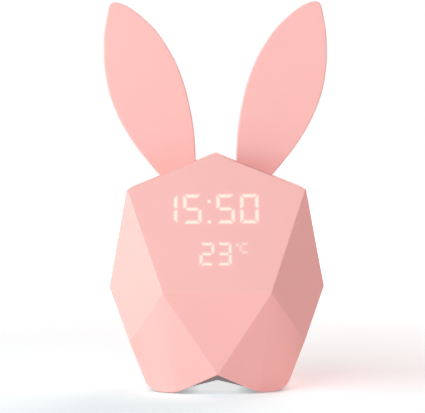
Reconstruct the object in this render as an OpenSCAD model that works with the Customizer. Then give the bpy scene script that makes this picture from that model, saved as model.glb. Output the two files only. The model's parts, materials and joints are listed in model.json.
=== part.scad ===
// Kids alarm clock with night light: a faceted case on two feet, two ears on its
// roof, digits that shine through the thin front wall, and controls at the back.
// X runs to the right, Y to the back, Z up. The clock rests on z = 0.

/* [Case] */
// Width of the case at its widest corners
body_width = 96.1; // [80:0.1:120]
// Depth of the case at the ring of corners round its middle
body_depth = 82.1; // [70:0.1:100]
// Height of the case up to its peak
body_height = 104.4; // [88:0.1:125]
// Wall behind the front face
wall = 2.1; // [1.7:0.05:2.8]
// Wall left in front of the digits
thin_wall = 1.2; // [0.8:0.05:1.6]
// Gap round parts that slide or drop in
clearance = 0.3; // [0.2:0.05:0.4]
// Height of the grey underside at the middle of the arch
arch_height = 6.8; // [5:0.1:7.5]

/* [Ears] */
// Height of an ear tip above the case peak
ear_rise = 66.9; // [50:0.1:82]
// Thickness of an ear
ear_thickness = 5; // [4:0.1:6.2]
// Rounding of an ear edge
ear_edge = 1.1; // [0.5:0.1:1.6]
// Thickness of the tenon under an ear
tenon_thickness = 4; // [3:0.1:5]

/* [Display] */
// Height of the hour digits
digit_height = 13.5; // [11:0.1:14.6]
// Height of the temperature digits
small_digit_height = 10.3; // [9:0.1:12]
// Width of one bar of a digit
bar = 1.45; // [1.1:0.05:1.8]
// Depth of the cells that guide the light
mask_depth = 6; // [4.5:0.1:7]
// Thickness of the circuit boards
board = 1.6; // [1:0.1:2]

/* [Controls] */
// Diameter of a button
button_diameter = 7; // [5.5:0.1:8.4]
// Travel of a button
button_travel = 0.8; // [0.5:0.05:0.9]
// Distance between two buttons
button_pitch = 15; // [13:0.1:17]
// Travel of the power slider
slider_travel = 3; // [2:0.1:3.6]
// Diameter of the loudspeaker
speaker_diameter = 20; // [16:0.1:22]

/* [Battery and light] */
// Diameter of the battery cell
battery_diameter = 18.2; // [14:0.1:19.2]
// Length of the battery cell
battery_length = 50; // [40:0.1:56]
// Diameter of the light dome
dome_diameter = 34; // [28:0.5:38]
// Height of the light dome
dome_height = 20; // [14:0.5:24]

/* [Hidden] */
$fn = 48;

// ratios of the chosen size to the nominal case
fx = body_width / 96.1;
fy = body_depth / 82.1;
fz = body_height / 104.4;

// corners of the right front quarter of the case, named from the top down
peak_z = body_height;
ring_x = 23.4 * fx;
ring_y = body_depth / 2;
ring_z = 45.2 * fz;
side_x = body_width / 2;
side_z = 44.6 * fz;
shoulder_x = 39 * fx;
shoulder_y = 22.627 * fy;
shoulder_z = 88.7 * fz;
hip_x = 38.3 * fx;
hip_y = 21.75 * fy;
hip_z = 22.4 * fz;
notch_y = 37 * fy;
notch_z = 9.5 * fz;
toe_x = 18.2 * fx;
toe_y = 26 * fy;
foot_side = 30.2 * fx;
foot_round = 7;
arc_steps = 5;
floor_gap = 0.4;
depth_below = 20;

// the front face leans back, the roof falls to the sides
slope = (ring_y - shoulder_y) / (shoulder_z - ring_z);
lean = atan(slope);
peak_y = shoulder_y - slope * (peak_z - shoulder_z);
roof_angle = atan((peak_z - shoulder_z) / shoulder_x);
low_lean = atan((ring_y - notch_y) / (ring_z - notch_z));

// the keel is where the two lower facets would meet on the floor
facet_a = [ring_x, notch_y - ring_y, ring_z - notch_z];
facet_b = [toe_x, notch_y - toe_y, -notch_z];
facet_n = cross(facet_a, facet_b);
keel_y = notch_y - facet_n[2] * notch_z / facet_n[1];

// the cavity is the case drawn smaller about its middle
middle_z = 51 * fz;
front_distance = (ring_y + slope * (ring_z - middle_z)) * cos(lean);
roof_distance = (peak_z - middle_z) * cos(roof_angle);
low_distance = (ring_y + tan(low_lean) * (middle_z - ring_z)) * cos(low_lean);
roof_wall = wall * roof_distance / front_distance;
low_wall = wall * low_distance / front_distance;
function shrink(d) = 1 - d / front_distance;

// middle of the front and back faces
face_z = 71.2 * fz;
face_y = ring_y - slope * (face_z - ring_z);

// joint between the two halves
lip_thick = 1.2;
lip_reach = 2.3;
lip_root = 3;
lip_low = 15;

// screws
screw = 2;
screw_pilot = screw + 0.1;
screw_hole = screw + 0.5;
head = 3.8;
head_high = 1.4;
boss = 6.4;
shell_screw_x = 32 * fx;
shell_screw_z = 82.5 * fz;
shell_seat = 8;
shell_screw_long = 13;
base_screw_x = 12 * fx;
base_screw_y = 21 * fy;
base_screw_long = 9;

// underside
base_thick = 2.2;
flat_x = 18 * fx;
flat_z = 1.1;
rim_high = 4.3;
rim_thick = 1.5;
rim_over = rim_high + clearance;
pad = 6;
pad_x = 23.3 * fx;
pad_y = 11.2 * fy;
pad_sink = 0.7;

// ears
ear_x = 16.5 * fx;
ear_z = peak_z - ear_x * tan(roof_angle);
ear_tall = 73.5;
ear_scale = (ear_rise + peak_z - ear_z) / ear_tall;
tenon_half = 6;
tenon_deep = roof_wall + 4.6;
flange_half = 8;
flange_wide = 9;
flange_thick = 2;
socket_half = flange_half + 2;
socket_wide = flange_wide + 4;
socket_deep = roof_wall + 6.6;
snug = 0.15;

// display, measured in the plane of the front face
cell_mid = -3.2;
row_y = 10.05 * fz;
small_row_y = -10.6 * fz;
digit_wide = digit_height * 0.59;
small_wide = small_digit_height * 0.61;
film_thick = 0.3;
mask_top = -(thin_wall + film_thick);
board_top = mask_top - mask_depth;
mask_wide = 46.6;
mask_high = 17.6;
mask_low_wide = 27;
mask_low_mid = 3.2;
mask_low_end = -18.2;
display_screw_x = 26.8;
display_screw_low = 14.5;
display_screw_y = 4.4;
display_screw_low_y = -21.6;

// controls, measured in the plane of the back face
control_top = -10.4;
control_x = 56;
control_y = 34;
control_screw_x = 24.6;
control_screw_y = 13.6;
button_y = 7.5;
button_out = 1;
switch_size = 6;
switch_high = 3.5;
plunger = 3.3;
switch_top = control_top + switch_high;
plunger_top = switch_top + button_travel + 0.5;
flange_top = -(wall + clearance);
slider_x = -14;
slider_y = -7.5;
slider_long = 2.6;
slider_wide = 2;
usb_x = 13;
usb_y = -7.5;
vent_x = 0;
vent_y = -8;

// loudspeaker, in the plane of the lower back facet
speaker_z = 33.5 * fz;
speaker_y = notch_y + tan(low_lean) * (speaker_z - notch_z);
speaker_rim = 3;
magnet = speaker_diameter * 0.6;

// battery and light, from the underside up
cradle_z = 11.6;
cradle_thick = 2;
battery_z = cradle_z + cradle_thick + 0.4 + battery_diameter / 2;
cradle_screw_x = 21.5;
cradle_screw_y = 13.2;
saddle_x = battery_length * 0.32;
light_z = battery_z + battery_diameter / 2 + 3.4;
light_board_d = dome_diameter + 11.8;
light_screw_a = 38;
light_screw_r = dome_diameter / 2 + 3.5;
dome_wall = 1.4;

// ---------- case form ----------

// the outer facet of a foot meets the floor along this direction, as far as the foot's side
outer_n = cross([hip_x - ring_x, ring_y - hip_y, hip_z - ring_z],
  [toe_x - ring_x, ring_y - toe_y, -ring_z]);
trace = -outer_n[0] / outer_n[1];
trace_angle = atan(trace);
corner_y = toe_y - trace * (foot_side - toe_x);
corner_run = foot_round * tan((90 - trace_angle) / 2);
function corner_point(a) = [foot_side - foot_round + foot_round * sin(a),
  -corner_y + corner_run - foot_round * cos(a)];
front_curve = concat([[toe_x, -toe_y]], [for (i = [0 : arc_steps])
  corner_point(trace_angle + (90 - trace_angle) * i / arc_steps)]);
curve_last = len(front_curve) - 1;
right_curve = concat(front_curve,
  [for (i = [curve_last : -1 : 0]) [front_curve[i][0], -front_curve[i][1]]]);
left_curve = [for (p = right_curve) [-p[0], -p[1]]];
footprint = concat([[0, -keel_y]], right_curve, [[0, keel_y]], left_curve);
foot_count = len(footprint);
corners = [[0, -peak_y, peak_z], [0, peak_y, peak_z],
  [shoulder_x, -shoulder_y, shoulder_z], [shoulder_x, shoulder_y, shoulder_z],
  [-shoulder_x, shoulder_y, shoulder_z], [-shoulder_x, -shoulder_y, shoulder_z],
  [ring_x, -ring_y, ring_z], [side_x, 0, side_z], [ring_x, ring_y, ring_z],
  [-ring_x, ring_y, ring_z], [-side_x, 0, side_z], [-ring_x, -ring_y, ring_z],
  [hip_x, -hip_y, hip_z], [hip_x, hip_y, hip_z],
  [-hip_x, hip_y, hip_z], [-hip_x, -hip_y, hip_z],
  [0, -notch_y, notch_z], [0, notch_y, notch_z]];
foot_0 = len(corners);
keel_f = foot_0;
toe_fr = foot_0 + 1;
side_fr = toe_fr + curve_last;
side_br = side_fr + 1;
toe_br = side_br + curve_last;
keel_b = toe_br + 1;
toe_bl = keel_b + 1;
side_bl = toe_bl + curve_last;
side_fl = side_bl + 1;
toe_fl = side_fl + curve_last;
low_0 = foot_0 + foot_count;
case_points = concat(corners,
  [for (p = footprint) [p[0], p[1], 0]],
  [for (p = footprint) [p[0], p[1], -depth_below]]);
function fan(top, first) = [for (i = [0 : arc_steps - 1]) [top, first + i + 1, first + i]];
case_faces = concat(
  [[0, 2, 6, 11, 5], [1, 4, 9, 8, 3], [0, 1, 3, 2], [0, 5, 4, 1],
   [2, 3, 7], [4, 5, 10], [2, 7, 6], [3, 8, 7], [5, 11, 10], [4, 10, 9],
   [6, 7, 12], [8, 13, 7], [11, 15, 10], [9, 10, 14],
   [7, 13, 12], [10, 15, 14], [11, 6, 16], [8, 9, 17],
   [6, toe_fr, keel_f, 16], [11, 16, keel_f, toe_fl],
   [8, 17, keel_b, toe_br], [9, toe_bl, keel_b, 17],
   [6, 12, toe_fr + 1, toe_fr], [11, toe_fl, toe_fl - 1, 15],
   [8, toe_br, toe_br - 1, 13], [9, 14, toe_bl + 1, toe_bl],
   [12, 13, side_br, side_fr], [14, 15, side_fl, side_bl]],
  fan(12, toe_fr + 1), fan(13, side_br), fan(14, toe_bl + 1), fan(15, side_fl),
  [for (i = [0 : foot_count - 1]) let (j = (i + 1) % foot_count)
    [foot_0 + i, foot_0 + j, low_0 + j, low_0 + i]],
  [[for (i = [0 : foot_count - 1]) low_0 + i]]);

// the whole case form, drawn d inside its skin
module gem(d = 0) {
  translate([0, 0, middle_z]) scale(shrink(d)) translate([0, 0, -middle_z])
    polyhedron(points = case_points, faces = case_faces, convexity = 4);
}

// arch between the feet, seen from the front
module arch(top, reach, low) {
  run = 90;
  rotate([90, 0, 0]) linear_extrude(height = 2 * run, center = true)
    polygon([[0, top], [reach, floor_gap], [reach, low], [-reach, low], [-reach, floor_gap]]);
}

arch_reach = 18 * fx;

module shell_half(side) {
  difference() {
    intersection() {
      gem(0);
      translate([-100, side > 0 ? 0 : -100, floor_gap]) cube([200, 100, 200]);
    }
    gem(wall);
    arch(notch_z, arch_reach, -30);
  }
}

// keeps inner bosses and ribs from reaching through the wall
module inside_wall() {
  intersection() {
    gem(wall * 0.5);
    children();
  }
}

module on_front() {
  translate([0, -face_y, face_z]) rotate([90 - lean, 0, 0]) children();
}

module on_back() {
  rotate([0, 0, 180]) on_front() children();
}

module on_low_back() {
  rotate([0, 0, 180]) translate([0, -speaker_y, speaker_z])
    rotate([90 + low_lean, 0, 0]) children();
}

// cylinder along Y between two depths
module rod_y(x, z, y0, y1, d) {
  translate([x, y1, z]) rotate([90, 0, 0]) cylinder(h = y1 - y0, d = d);
}

// cylinder along Z between two heights
module rod_z(x, y, z0, z1, d) {
  translate([x, y, z0]) cylinder(h = z1 - z0, d = d);
}

// box from its middle in X and Y, between two heights
module slab(x, y, z0, z1, sx, sy) {
  translate([x - sx / 2, y - sy / 2, z0]) cube([sx, sy, z1 - z0]);
}

// cross-head screw, its seat on z = 0 and its shank downwards
module one_screw(long) {
  difference() {
    union() {
      cylinder(h = head_high, d = head);
      translate([0, 0, -long]) cylinder(h = long, d = screw);
    }
    for (a = [0, 90]) rotate([0, 0, a])
      translate([-1.2, -0.3, head_high - 0.7]) cube([2.4, 0.6, 1]);
  }
}

module both_x(x) {
  for (s = [-1, 1]) translate([s * x, 0, 0]) children();
}

// ---------- roof frame of an ear ----------

// point s along the roof and t out of it, in X and Z, for the right ear
function roof_point(s, t) = [
  ear_x + s * cos(roof_angle) + t * sin(roof_angle),
  ear_z - s * sin(roof_angle) + t * cos(roof_angle)];

module roof_block(s_half, t0, t1, y0, y1) {
  translate([0, y1, 0]) rotate([90, 0, 0]) linear_extrude(height = y1 - y0)
    polygon([roof_point(-s_half, t0), roof_point(s_half, t0),
      roof_point(s_half, t1), roof_point(-s_half, t1)]);
}

module both_ears() {
  children();
  mirror([1, 0, 0]) children();
}

module ear_socket_half(side) {
  y0 = side > 0 ? 0 : -socket_wide / 2;
  y1 = side > 0 ? socket_wide / 2 : 0;
  both_ears() roof_block(socket_half, -roof_wall * 0.6, -socket_deep, y0, y1);
}

module ear_socket_cut() {
  both_ears() {
    roof_block(tenon_half + snug, 2, -tenon_deep - snug,
      -tenon_thickness / 2 - snug, tenon_thickness / 2 + snug);
    roof_block(flange_half + snug, -roof_wall, -roof_wall - flange_thick - 2 * snug,
      -flange_wide / 2 - snug, flange_wide / 2 + snug);
  }
}

// ---------- shells ----------

module lip() {
  difference() {
    union() {
      intersection() {
        gem(wall - 0.3);
        translate([-100, -lip_root, lip_low]) cube([200, lip_root, 200]);
      }
      intersection() {
        gem(wall + snug);
        translate([-100, 0, lip_low]) cube([200, lip_reach, 200]);
      }
    }
    gem(wall + snug + lip_thick);
    both_ears() roof_block(socket_half + clearance, 4, -socket_deep - 2,
      -lip_root - 1, lip_reach + 1);
    both_x(shell_screw_x) rod_y(0, shell_screw_z, 0, lip_reach + 1,
      boss + 0.6 + 2 * clearance);
  }
}

module display_places() {
  for (s = [-1, 1]) {
    translate([cell_mid + s * display_screw_x, display_screw_y, 0]) children();
    translate([s * display_screw_low, display_screw_low_y, 0]) children();
  }
}

module front_shell() {
  color("#F6BDB8") difference() {
    union() {
      shell_half(-1);
      lip();
      inside_wall() union() {
        both_x(shell_screw_x) rod_y(0, shell_screw_z, -40, 0, boss + 0.6);
        ear_socket_half(-1);
        on_front() display_places()
          translate([0, 0, board_top]) cylinder(h = 9, d = boss);
        both_x(base_screw_x) rod_z(0, -base_screw_y, base_top(base_screw_x) + 2.2,
          26, boss);
        both_x(base_screw_x) translate([-0.8, -base_screw_y - 16, base_top(base_screw_x) + rim_over])
          cube([1.6, 15, 26 - base_top(base_screw_x) - rim_over]);
        // ribs that stiffen the wall below the digits
        for (x = [-4, 4]) translate([x - 0.7, -ring_y, 16]) cube([1.4, 7, 24]);
      }
    }
    ear_socket_cut();
    both_x(shell_screw_x) rod_y(0, shell_screw_z, shell_seat - shell_screw_long - 1, 1,
      screw_pilot);
    both_x(base_screw_x) rod_z(0, -base_screw_y, 0, base_seat() + base_screw_long + 1,
      screw_pilot);
    // thin wall in front of the digits
    on_front() {
      slab(cell_mid, row_y, -(wall + 1), -thin_wall, mask_wide + 1, mask_high + 1);
      slab(mask_low_mid, mask_low_y(), -(wall + 1), -thin_wall,
        mask_low_wide + 1, mask_low_high() + 1);
      display_places() translate([0, 0, board_top - 1]) cylinder(h = 6, d = screw_pilot);
    }
  }
}

module rear_shell() {
  color("#F6BDB8") difference() {
    union() {
      shell_half(1);
      inside_wall() union() {
        both_x(shell_screw_x) rod_y(0, shell_screw_z, 0, 40, boss + 0.6);
        ear_socket_half(1);
        on_back() {
          for (sx = [-1, 1], sy = [-1, 1])
            translate([sx * control_screw_x, sy * control_screw_y, control_top])
              cylinder(h = -control_top, d = boss);
          for (i = [-1, 0, 1]) translate([i * button_pitch, button_y, -5])
            cylinder(h = 5, d = button_diameter + 2.6 + 2 * clearance + 2.4);
        }
        on_low_back() translate([0, 0, -low_wall - speaker_rim])
          cylinder(h = low_wall + speaker_rim, d = speaker_diameter + 3.6);
        both_x(base_screw_x) rod_z(0, base_screw_y, base_top(base_screw_x) + 2.2,
          26, boss);
        both_x(base_screw_x) translate([-0.8, base_screw_y + 1, base_top(base_screw_x) + rim_over])
          cube([1.6, 15, 26 - base_top(base_screw_x) - rim_over]);
      }
    }
    ear_socket_cut();
    both_x(shell_screw_x) rod_y(0, shell_screw_z, -1, 40, screw_hole);
    both_x(shell_screw_x) rod_y(0, shell_screw_z, shell_seat, 60, head + 1);
    both_x(base_screw_x) rod_z(0, base_screw_y, 0, base_seat() + base_screw_long + 1,
      screw_pilot);
    on_back() {
      for (sx = [-1, 1], sy = [-1, 1])
        translate([sx * control_screw_x, sy * control_screw_y, control_top - 1])
          cylinder(h = 8, d = screw_pilot);
      for (i = [-1, 0, 1]) translate([i * button_pitch, button_y, 0]) {
        translate([0, 0, -6]) cylinder(h = 10, d = button_diameter + 2 * clearance);
        translate([0, 0, -6]) cylinder(h = 6 - wall, d = button_diameter + 2.6 + 2 * clearance);
      }
      slab(slider_x, slider_y, -6, 4, slider_long + slider_travel + 2 * clearance,
        slider_wide + 2 * clearance);
      slab(slider_x, slider_y, -0.5, 4, slider_long + slider_travel + 3, slider_wide + 2.4);
      slab(usb_x, usb_y, -6, 4, 9 + 2 * clearance, 3.3 + 2 * clearance);
      for (i = [-1, 0, 1]) slab(vent_x, vent_y + 2.4 * i, -6, 4, 7, 1.1);
    }
    on_low_back() {
      translate([0, 0, -low_wall - speaker_rim - 1])
        cylinder(h = speaker_rim + 1, d = speaker_diameter + 0.1);
      for (ring = [0 : 3], k = [0 : max(0, ring * 6 - 1)])
        rotate([0, 0, ring > 0 ? k * 60 / ring : 0]) translate([ring * 2.5, 0, -6])
          cylinder(h = 12, d = 1.4);
    }
  }
}

// height of the inner face of the underside at x
function base_low(x) = x < flat_x
  ? arch_height - (arch_height - flat_z) * x / flat_x : flat_z;
function base_top(x) = base_low(x) + base_thick;
function base_seat() = base_low(base_screw_x) + 1.4;

module base_band(low, high) {
  rotate([90, 0, 0]) linear_extrude(height = 120, center = true)
    polygon([[0, arch_height + low], [flat_x, flat_z + low], [60, flat_z + low],
      [60, flat_z + high], [flat_x, flat_z + high], [0, arch_height + high],
      [-flat_x, flat_z + high], [-60, flat_z + high], [-60, flat_z + low],
      [-flat_x, flat_z + low]]);
}

module base_cover() {
  color("#C9C7C8") difference() {
    union() {
      intersection() {
        gem(wall + clearance);
        base_band(0, base_thick);
      }
      difference() {
        intersection() {
          gem(wall + clearance);
          base_band(base_thick - 0.5, base_thick + rim_high);
        }
        gem(wall + clearance + rim_thick);
      }
      intersection() {
        gem(wall + clearance + 1);
        base_band(base_thick - 0.5, 40);
        union() {
          for (sx = [-1, 1], sy = [-1, 1]) {
            rod_z(sx * cradle_screw_x, sy * cradle_screw_y, flat_z + 1, cradle_z, boss);
            rod_z(sx * base_screw_x, sy * base_screw_y, base_low(base_screw_x) + 1,
              base_top(base_screw_x) + 2.2, boss + 1);
          }
          // ribs across the arch
          for (y = [-8, 8]) translate([-20, y - 0.8, flat_z + 1]) cube([40, 1.6, 9.4]);
        }
      }
    }
    for (sx = [-1, 1], sy = [-1, 1]) {
      rod_z(sx * cradle_screw_x, sy * cradle_screw_y, cradle_z - 7, cradle_z + 1, screw_pilot);
      rod_z(sx * base_screw_x, sy * base_screw_y, -2, 20, screw_hole);
      rod_z(sx * base_screw_x, sy * base_screw_y, -2, base_seat(), head + 0.8);
      rod_z(sx * pad_x, sy * pad_y, -2, flat_z + pad_sink, pad + 0.1);
    }
  }
}

module rubber_feet() {
  color("#5E5A5C") for (sx = [-1, 1], sy = [-1, 1]) translate([sx * pad_x, sy * pad_y, 0]) {
    translate([0, 0, 0.3]) cylinder(h = flat_z + pad_sink - 0.3, d = pad);
    cylinder(h = 0.3, d1 = pad - 0.6, d2 = pad);
  }
}

module shell_screws() {
  color("#8E9094") both_x(shell_screw_x) translate([0, shell_seat, shell_screw_z])
    rotate([-90, 0, 0]) one_screw(shell_screw_long);
}

module base_screws() {
  color("#8E9094") for (sx = [-1, 1], sy = [-1, 1])
    translate([sx * base_screw_x, sy * base_screw_y, base_seat()])
      rotate([180, 0, 0]) one_screw(base_screw_long);
}

// ---------- ears ----------

// outline of the right ear about the middle of its root, from the root's inner
// end up to the tip and down the outer side
ear_knots = [[-7.5, 3], [-7.3, 8.5], [-6.65, 17.1], [-4.85, 27.8], [-2.1, 38.5], [2.2, 49.1],
  [8.9, 59.8], [13.8, 65.1], [18.5, 69.15], [22.5, 71.8], [25.6, 73.1], [27.7, 73.5],
  [29.4, 73.1], [30.35, 72.1], [30.85, 70.4], [31.9, 65.1], [32.7, 59.8], [33, 52],
  [32.65, 43.8], [30.7, 33.2], [26.6, 22.5], [20.5, 11.8], [12.3, 1.1], [8.3, -3.35]];
function curve(a, b, c, d, t) = 0.5 * ((2 * b) + (c - a) * t
  + (2 * a - 5 * b + 4 * c - d) * t * t + (3 * b - a - 3 * c + d) * t * t * t);
ear_last = len(ear_knots) - 1;
ear_curve = [for (i = [0 : ear_last - 1], k = [0 : 2])
  curve(ear_knots[max(i - 1, 0)], ear_knots[i], ear_knots[i + 1],
    ear_knots[min(i + 2, ear_last)], k / 3)];
ear_root_in = roof_point(-8.1 * ear_scale, 0);
ear_root_out = roof_point(8.95 * ear_scale, 0);
ear_outline = concat([ear_root_in],
  [for (i = [1 : len(ear_curve) - 1]) [ear_x, ear_z] + ear_scale * ear_curve[i]],
  [ear_root_out]);
ear_inner = [for (i = [0 : len(ear_outline) - 1])
  let (before = ear_outline[max(i - 1, 0)],
    after = ear_outline[min(i + 1, len(ear_outline) - 1)],
    way = (after - before) / norm(after - before))
  ear_outline[i] + ear_edge * [way[1], -way[0]]];

module ear_plate() {
  hull() {
    rotate([90, 0, 0]) linear_extrude(height = ear_thickness - 2 * ear_edge, center = true)
      polygon(ear_outline);
    rotate([90, 0, 0]) linear_extrude(height = ear_thickness - 0.6 * ear_edge, center = true)
      polygon([for (i = [0 : len(ear_outline) - 1])
        0.7 * ear_outline[i] + 0.3 * ear_inner[i]]);
    rotate([90, 0, 0]) linear_extrude(height = ear_thickness, center = true)
      polygon(ear_inner);
  }
}

module ear() {
  difference() {
    ear_plate();
    roof_block(40, 0, -20, -10, 10);
  }
  difference() {
    roof_block(tenon_half, 1, -tenon_deep, -tenon_thickness / 2, tenon_thickness / 2);
    // lightening slot in the tenon
    roof_block(tenon_half - 2.4, -roof_wall - flange_thick - 1.2, -tenon_deep - 1, -10, 10);
  }
  roof_block(flange_half, -roof_wall - snug, -roof_wall - snug - flange_thick,
    -flange_wide / 2, flange_wide / 2);
}

module ear_right() {
  color("#F3BBB6") ear();
}

module ear_left() {
  color("#F3BBB6") mirror([1, 0, 0]) ear();
}

// ---------- display ----------

function mask_low_y() = (row_y - mask_high / 2 + mask_low_end) / 2;
function mask_low_high() = row_y - mask_high / 2 - mask_low_end;

// the seven bars of one digit as bar places: x, y, length in x, length in y
function bars(w, h) = [
  [0, h / 2 - bar / 2, w - 2 * bar, bar],
  [0, 0, w - 2 * bar, bar],
  [0, -h / 2 + bar / 2, w - 2 * bar, bar],
  [-w / 2 + bar / 2, h / 4, bar, h / 2 - 1.2 * bar],
  [w / 2 - bar / 2, h / 4, bar, h / 2 - 1.2 * bar],
  [-w / 2 + bar / 2, -h / 4, bar, h / 2 - 1.2 * bar],
  [w / 2 - bar / 2, -h / 4, bar, h / 2 - 1.2 * bar]];
digit_step = digit_wide + 2.4;
colon_step = digit_wide / 2 + 3.2;
digit_x = [cell_mid - colon_step - digit_step, cell_mid - colon_step,
  cell_mid + colon_step, cell_mid + colon_step + digit_step];
colon_up = digit_height * 0.26;
colon_down = digit_height * 0.444;
small_x = [-4.25, 3.15];
// the degree ring's cell, and the three cells of the C by its size and bar
ring_cell = [8.8, small_row_y + 4.1, 1.3, 1.3];
sign_x = 11.5;
sign_y = small_row_y + 2.65;
sign_wide = 3.25;
sign_high = 4.9;
sign_bar = 1;
light_bars = concat(
  [for (x = digit_x, b = bars(digit_wide, digit_height)) [b[0] + x, b[1] + row_y, b[2], b[3]]],
  [for (y = [colon_up, -colon_down]) [cell_mid, row_y + y, bar, bar]],
  [for (x = small_x, b = bars(small_wide, small_digit_height))
    [b[0] + x, b[1] + small_row_y, b[2], b[3]]],
  [ring_cell,
   [sign_x - (sign_wide - sign_bar) / 2, sign_y, sign_bar, sign_high - 2.6 * sign_bar]],
  [for (s = [-1, 1]) [sign_x + sign_bar / 2, sign_y + s * (sign_high - sign_bar) / 2,
    sign_wide - sign_bar, sign_bar]]);

module display_film() {
  color("#F2E9E2") on_front() {
    slab(cell_mid, row_y, mask_top, mask_top + film_thick, mask_wide, mask_high);
    slab(mask_low_mid, mask_low_y(), mask_top, mask_top + film_thick,
      mask_low_wide, mask_low_high());
  }
}

module display_mask() {
  color("#E9E6E2") on_front() difference() {
    union() {
      slab(cell_mid, row_y, board_top, mask_top, mask_wide, mask_high);
      slab(mask_low_mid, mask_low_y(), board_top, mask_top,
        mask_low_wide, mask_low_high() + 0.01);
    }
    for (b = light_bars) slab(b[0], b[1], board_top - 1, mask_top + 1, b[2], b[3]);
  }
}

module display_board() {
  color("#2F6B4A") on_front() difference() {
    union() {
      slab(cell_mid, row_y, board_top - board, board_top, mask_wide + 1, mask_high + 3);
      slab(cell_mid, display_screw_y, board_top - board, board_top,
        2 * display_screw_x + 6.4, 6.4);
      slab(0, -11.5, board_top - board, board_top, 2 * display_screw_low + 6.4, 27);
    }
    display_places() translate([0, 0, board_top - board - 1])
      cylinder(h = board + 2, d = screw_hole);
  }
}

module digit_leds() {
  color("#F7E9A8") on_front() for (b = light_bars)
    slab(b[0], b[1], board_top, board_top + 0.7, min(b[2], 1) * 0.9, min(b[3], 1) * 0.9);
}

module display_driver() {
  color("#26282B") on_front() {
    slab(-12, 4, board_top - board - 1.4, board_top - board, 10, 6);
    slab(10, 0, board_top - board - 0.9, board_top - board, 4, 4);
    for (i = [0 : 5]) slab(-14 + 3 * i, -10, board_top - board - 0.6, board_top - board, 1, 1.8);
  }
}

module display_screws() {
  color("#8E9094") on_front() display_places()
    translate([0, 0, board_top - board]) rotate([180, 0, 0]) one_screw(5);
}

// ---------- controls ----------

module control_board() {
  color("#2F6B4A") on_back() difference() {
    slab(0, 0, control_top - board, control_top, control_x, control_y);
    for (sx = [-1, 1], sy = [-1, 1])
      translate([sx * control_screw_x, sy * control_screw_y, control_top - board - 1])
        cylinder(h = board + 2, d = screw_hole);
  }
}

module processor() {
  color("#26282B") on_back() {
    slab(-6, -2, control_top - board - 1.2, control_top - board, 7, 7);
    slab(16, 2, control_top - board - 0.9, control_top - board, 4, 4);
    slab(-16, 3, control_top - board - 1.2, control_top - board, 5, 3.2);
    for (i = [0 : 3]) slab(4 + 2.4 * i, -3, control_top - board - 0.6,
      control_top - board, 1, 1.8);
  }
}

lead_x = [-8, 0, 8];
lead_y = -12.5;
lead_high = 3.4;

module lead_sockets() {
  color("#E8E3DA") on_back() for (x = lead_x) difference() {
    slab(x, lead_y, control_top - board - lead_high, control_top - board, 6, 4.4);
    slab(x, lead_y - 1.4, control_top - board - lead_high + 0.8,
      control_top - board - 0.8, 4.4, 3.4);
  }
}

ribbon_wide = 12;
ribbon_row = 10.5;

module ribbon_sockets() {
  color("#E8E3DA") {
    on_front() slab(0, ribbon_row, board_top - board - 2, board_top - board, 14, 4);
    on_back() slab(0, ribbon_row, control_top - board - 2, control_top - board, 14, 4);
  }
}

module control_screws() {
  color("#8E9094") on_back() for (sx = [-1, 1], sy = [-1, 1])
    translate([sx * control_screw_x, sy * control_screw_y, control_top - board])
      rotate([180, 0, 0]) one_screw(6);
}

module usb_socket() {
  color("#B9BCC0") on_back() {
    difference() {
      slab(usb_x, usb_y, control_top, -0.8, 9, 3.3);
      slab(usb_x, usb_y, -7, 1, 8.2, 2.5);
    }
    slab(usb_x, usb_y, -7.1, -1.6, 6.6, 0.7);
  }
}

module switch_bodies() {
  color("#3A3B3E") on_back() for (i = [-1, 0, 1]) translate([i * button_pitch, button_y, 0])
    difference() {
      slab(0, 0, control_top, switch_top, switch_size, switch_size);
      translate([0, 0, switch_top - button_travel - 0.5 - clearance - 0.1])
        cylinder(h = 4, d = plunger + 2 * clearance);
    }
}

module one_plunger(i) {
  color("#D9D4CC") on_back() translate([i * button_pitch, button_y, switch_top - 0.5])
    cylinder(h = plunger_top - switch_top + 0.5, d = plunger);
}

module plunger_mode() {
  one_plunger(-1);
}

module plunger_up() {
  one_plunger(0);
}

module plunger_down() {
  one_plunger(1);
}

module one_button(i) {
  color("#F3BBB6") on_back() translate([i * button_pitch, button_y, 0]) {
    translate([0, 0, flange_top]) cylinder(h = button_out - 0.3 - flange_top,
      d = button_diameter);
    translate([0, 0, button_out - 0.3]) cylinder(h = 0.3, d1 = button_diameter,
      d2 = button_diameter - 0.6);
    translate([0, 0, flange_top - 1]) cylinder(h = 1, d = button_diameter + 2.6);
    translate([0, 0, plunger_top]) cylinder(h = flange_top - 1 - plunger_top, d = 4.4);
  }
}

module button_mode() {
  one_button(-1);
}

module button_up() {
  one_button(0);
}

module button_down() {
  one_button(1);
}

slider_start = slider_x - slider_travel / 2;

module power_switch() {
  color("#9EA1A6") on_back() difference() {
    slab(slider_x, slider_y, control_top, switch_top, slider_long + slider_travel + 4, 5);
    slab(slider_x, slider_y, switch_top - 2, switch_top + 1,
      slider_long + slider_travel + 2 * clearance, slider_wide + 2 * clearance);
  }
}

module power_slider() {
  color("#3A3B3E") on_back() {
    difference() {
      slab(slider_start, slider_y, switch_top - 1.6, 0.6, slider_long, slider_wide);
      for (dx = [-0.7, 0, 0.7]) slab(slider_start + dx, slider_y, 0.35, 1, 0.3, 4);
    }
    slab(slider_start, slider_y, flange_top - 0.9, flange_top,
      slider_long + slider_travel + 4, slider_wide + 2.6);
  }
}

module temperature_sensor() {
  color("#39424A") on_back() {
    translate([vent_x, vent_y, control_top]) cylinder(h = 4.4, d = 1);
    translate([vent_x, vent_y, control_top + 4]) cylinder(h = 2, d = 2.4);
  }
}

module tap_sensor() {
  color("#C9A65A") on_back() translate([14, -4, control_top - board - 2.3]) rotate([0, 90, 0])
    cylinder(h = 9, d = 4.6);
}

// ---------- loudspeaker ----------

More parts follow.
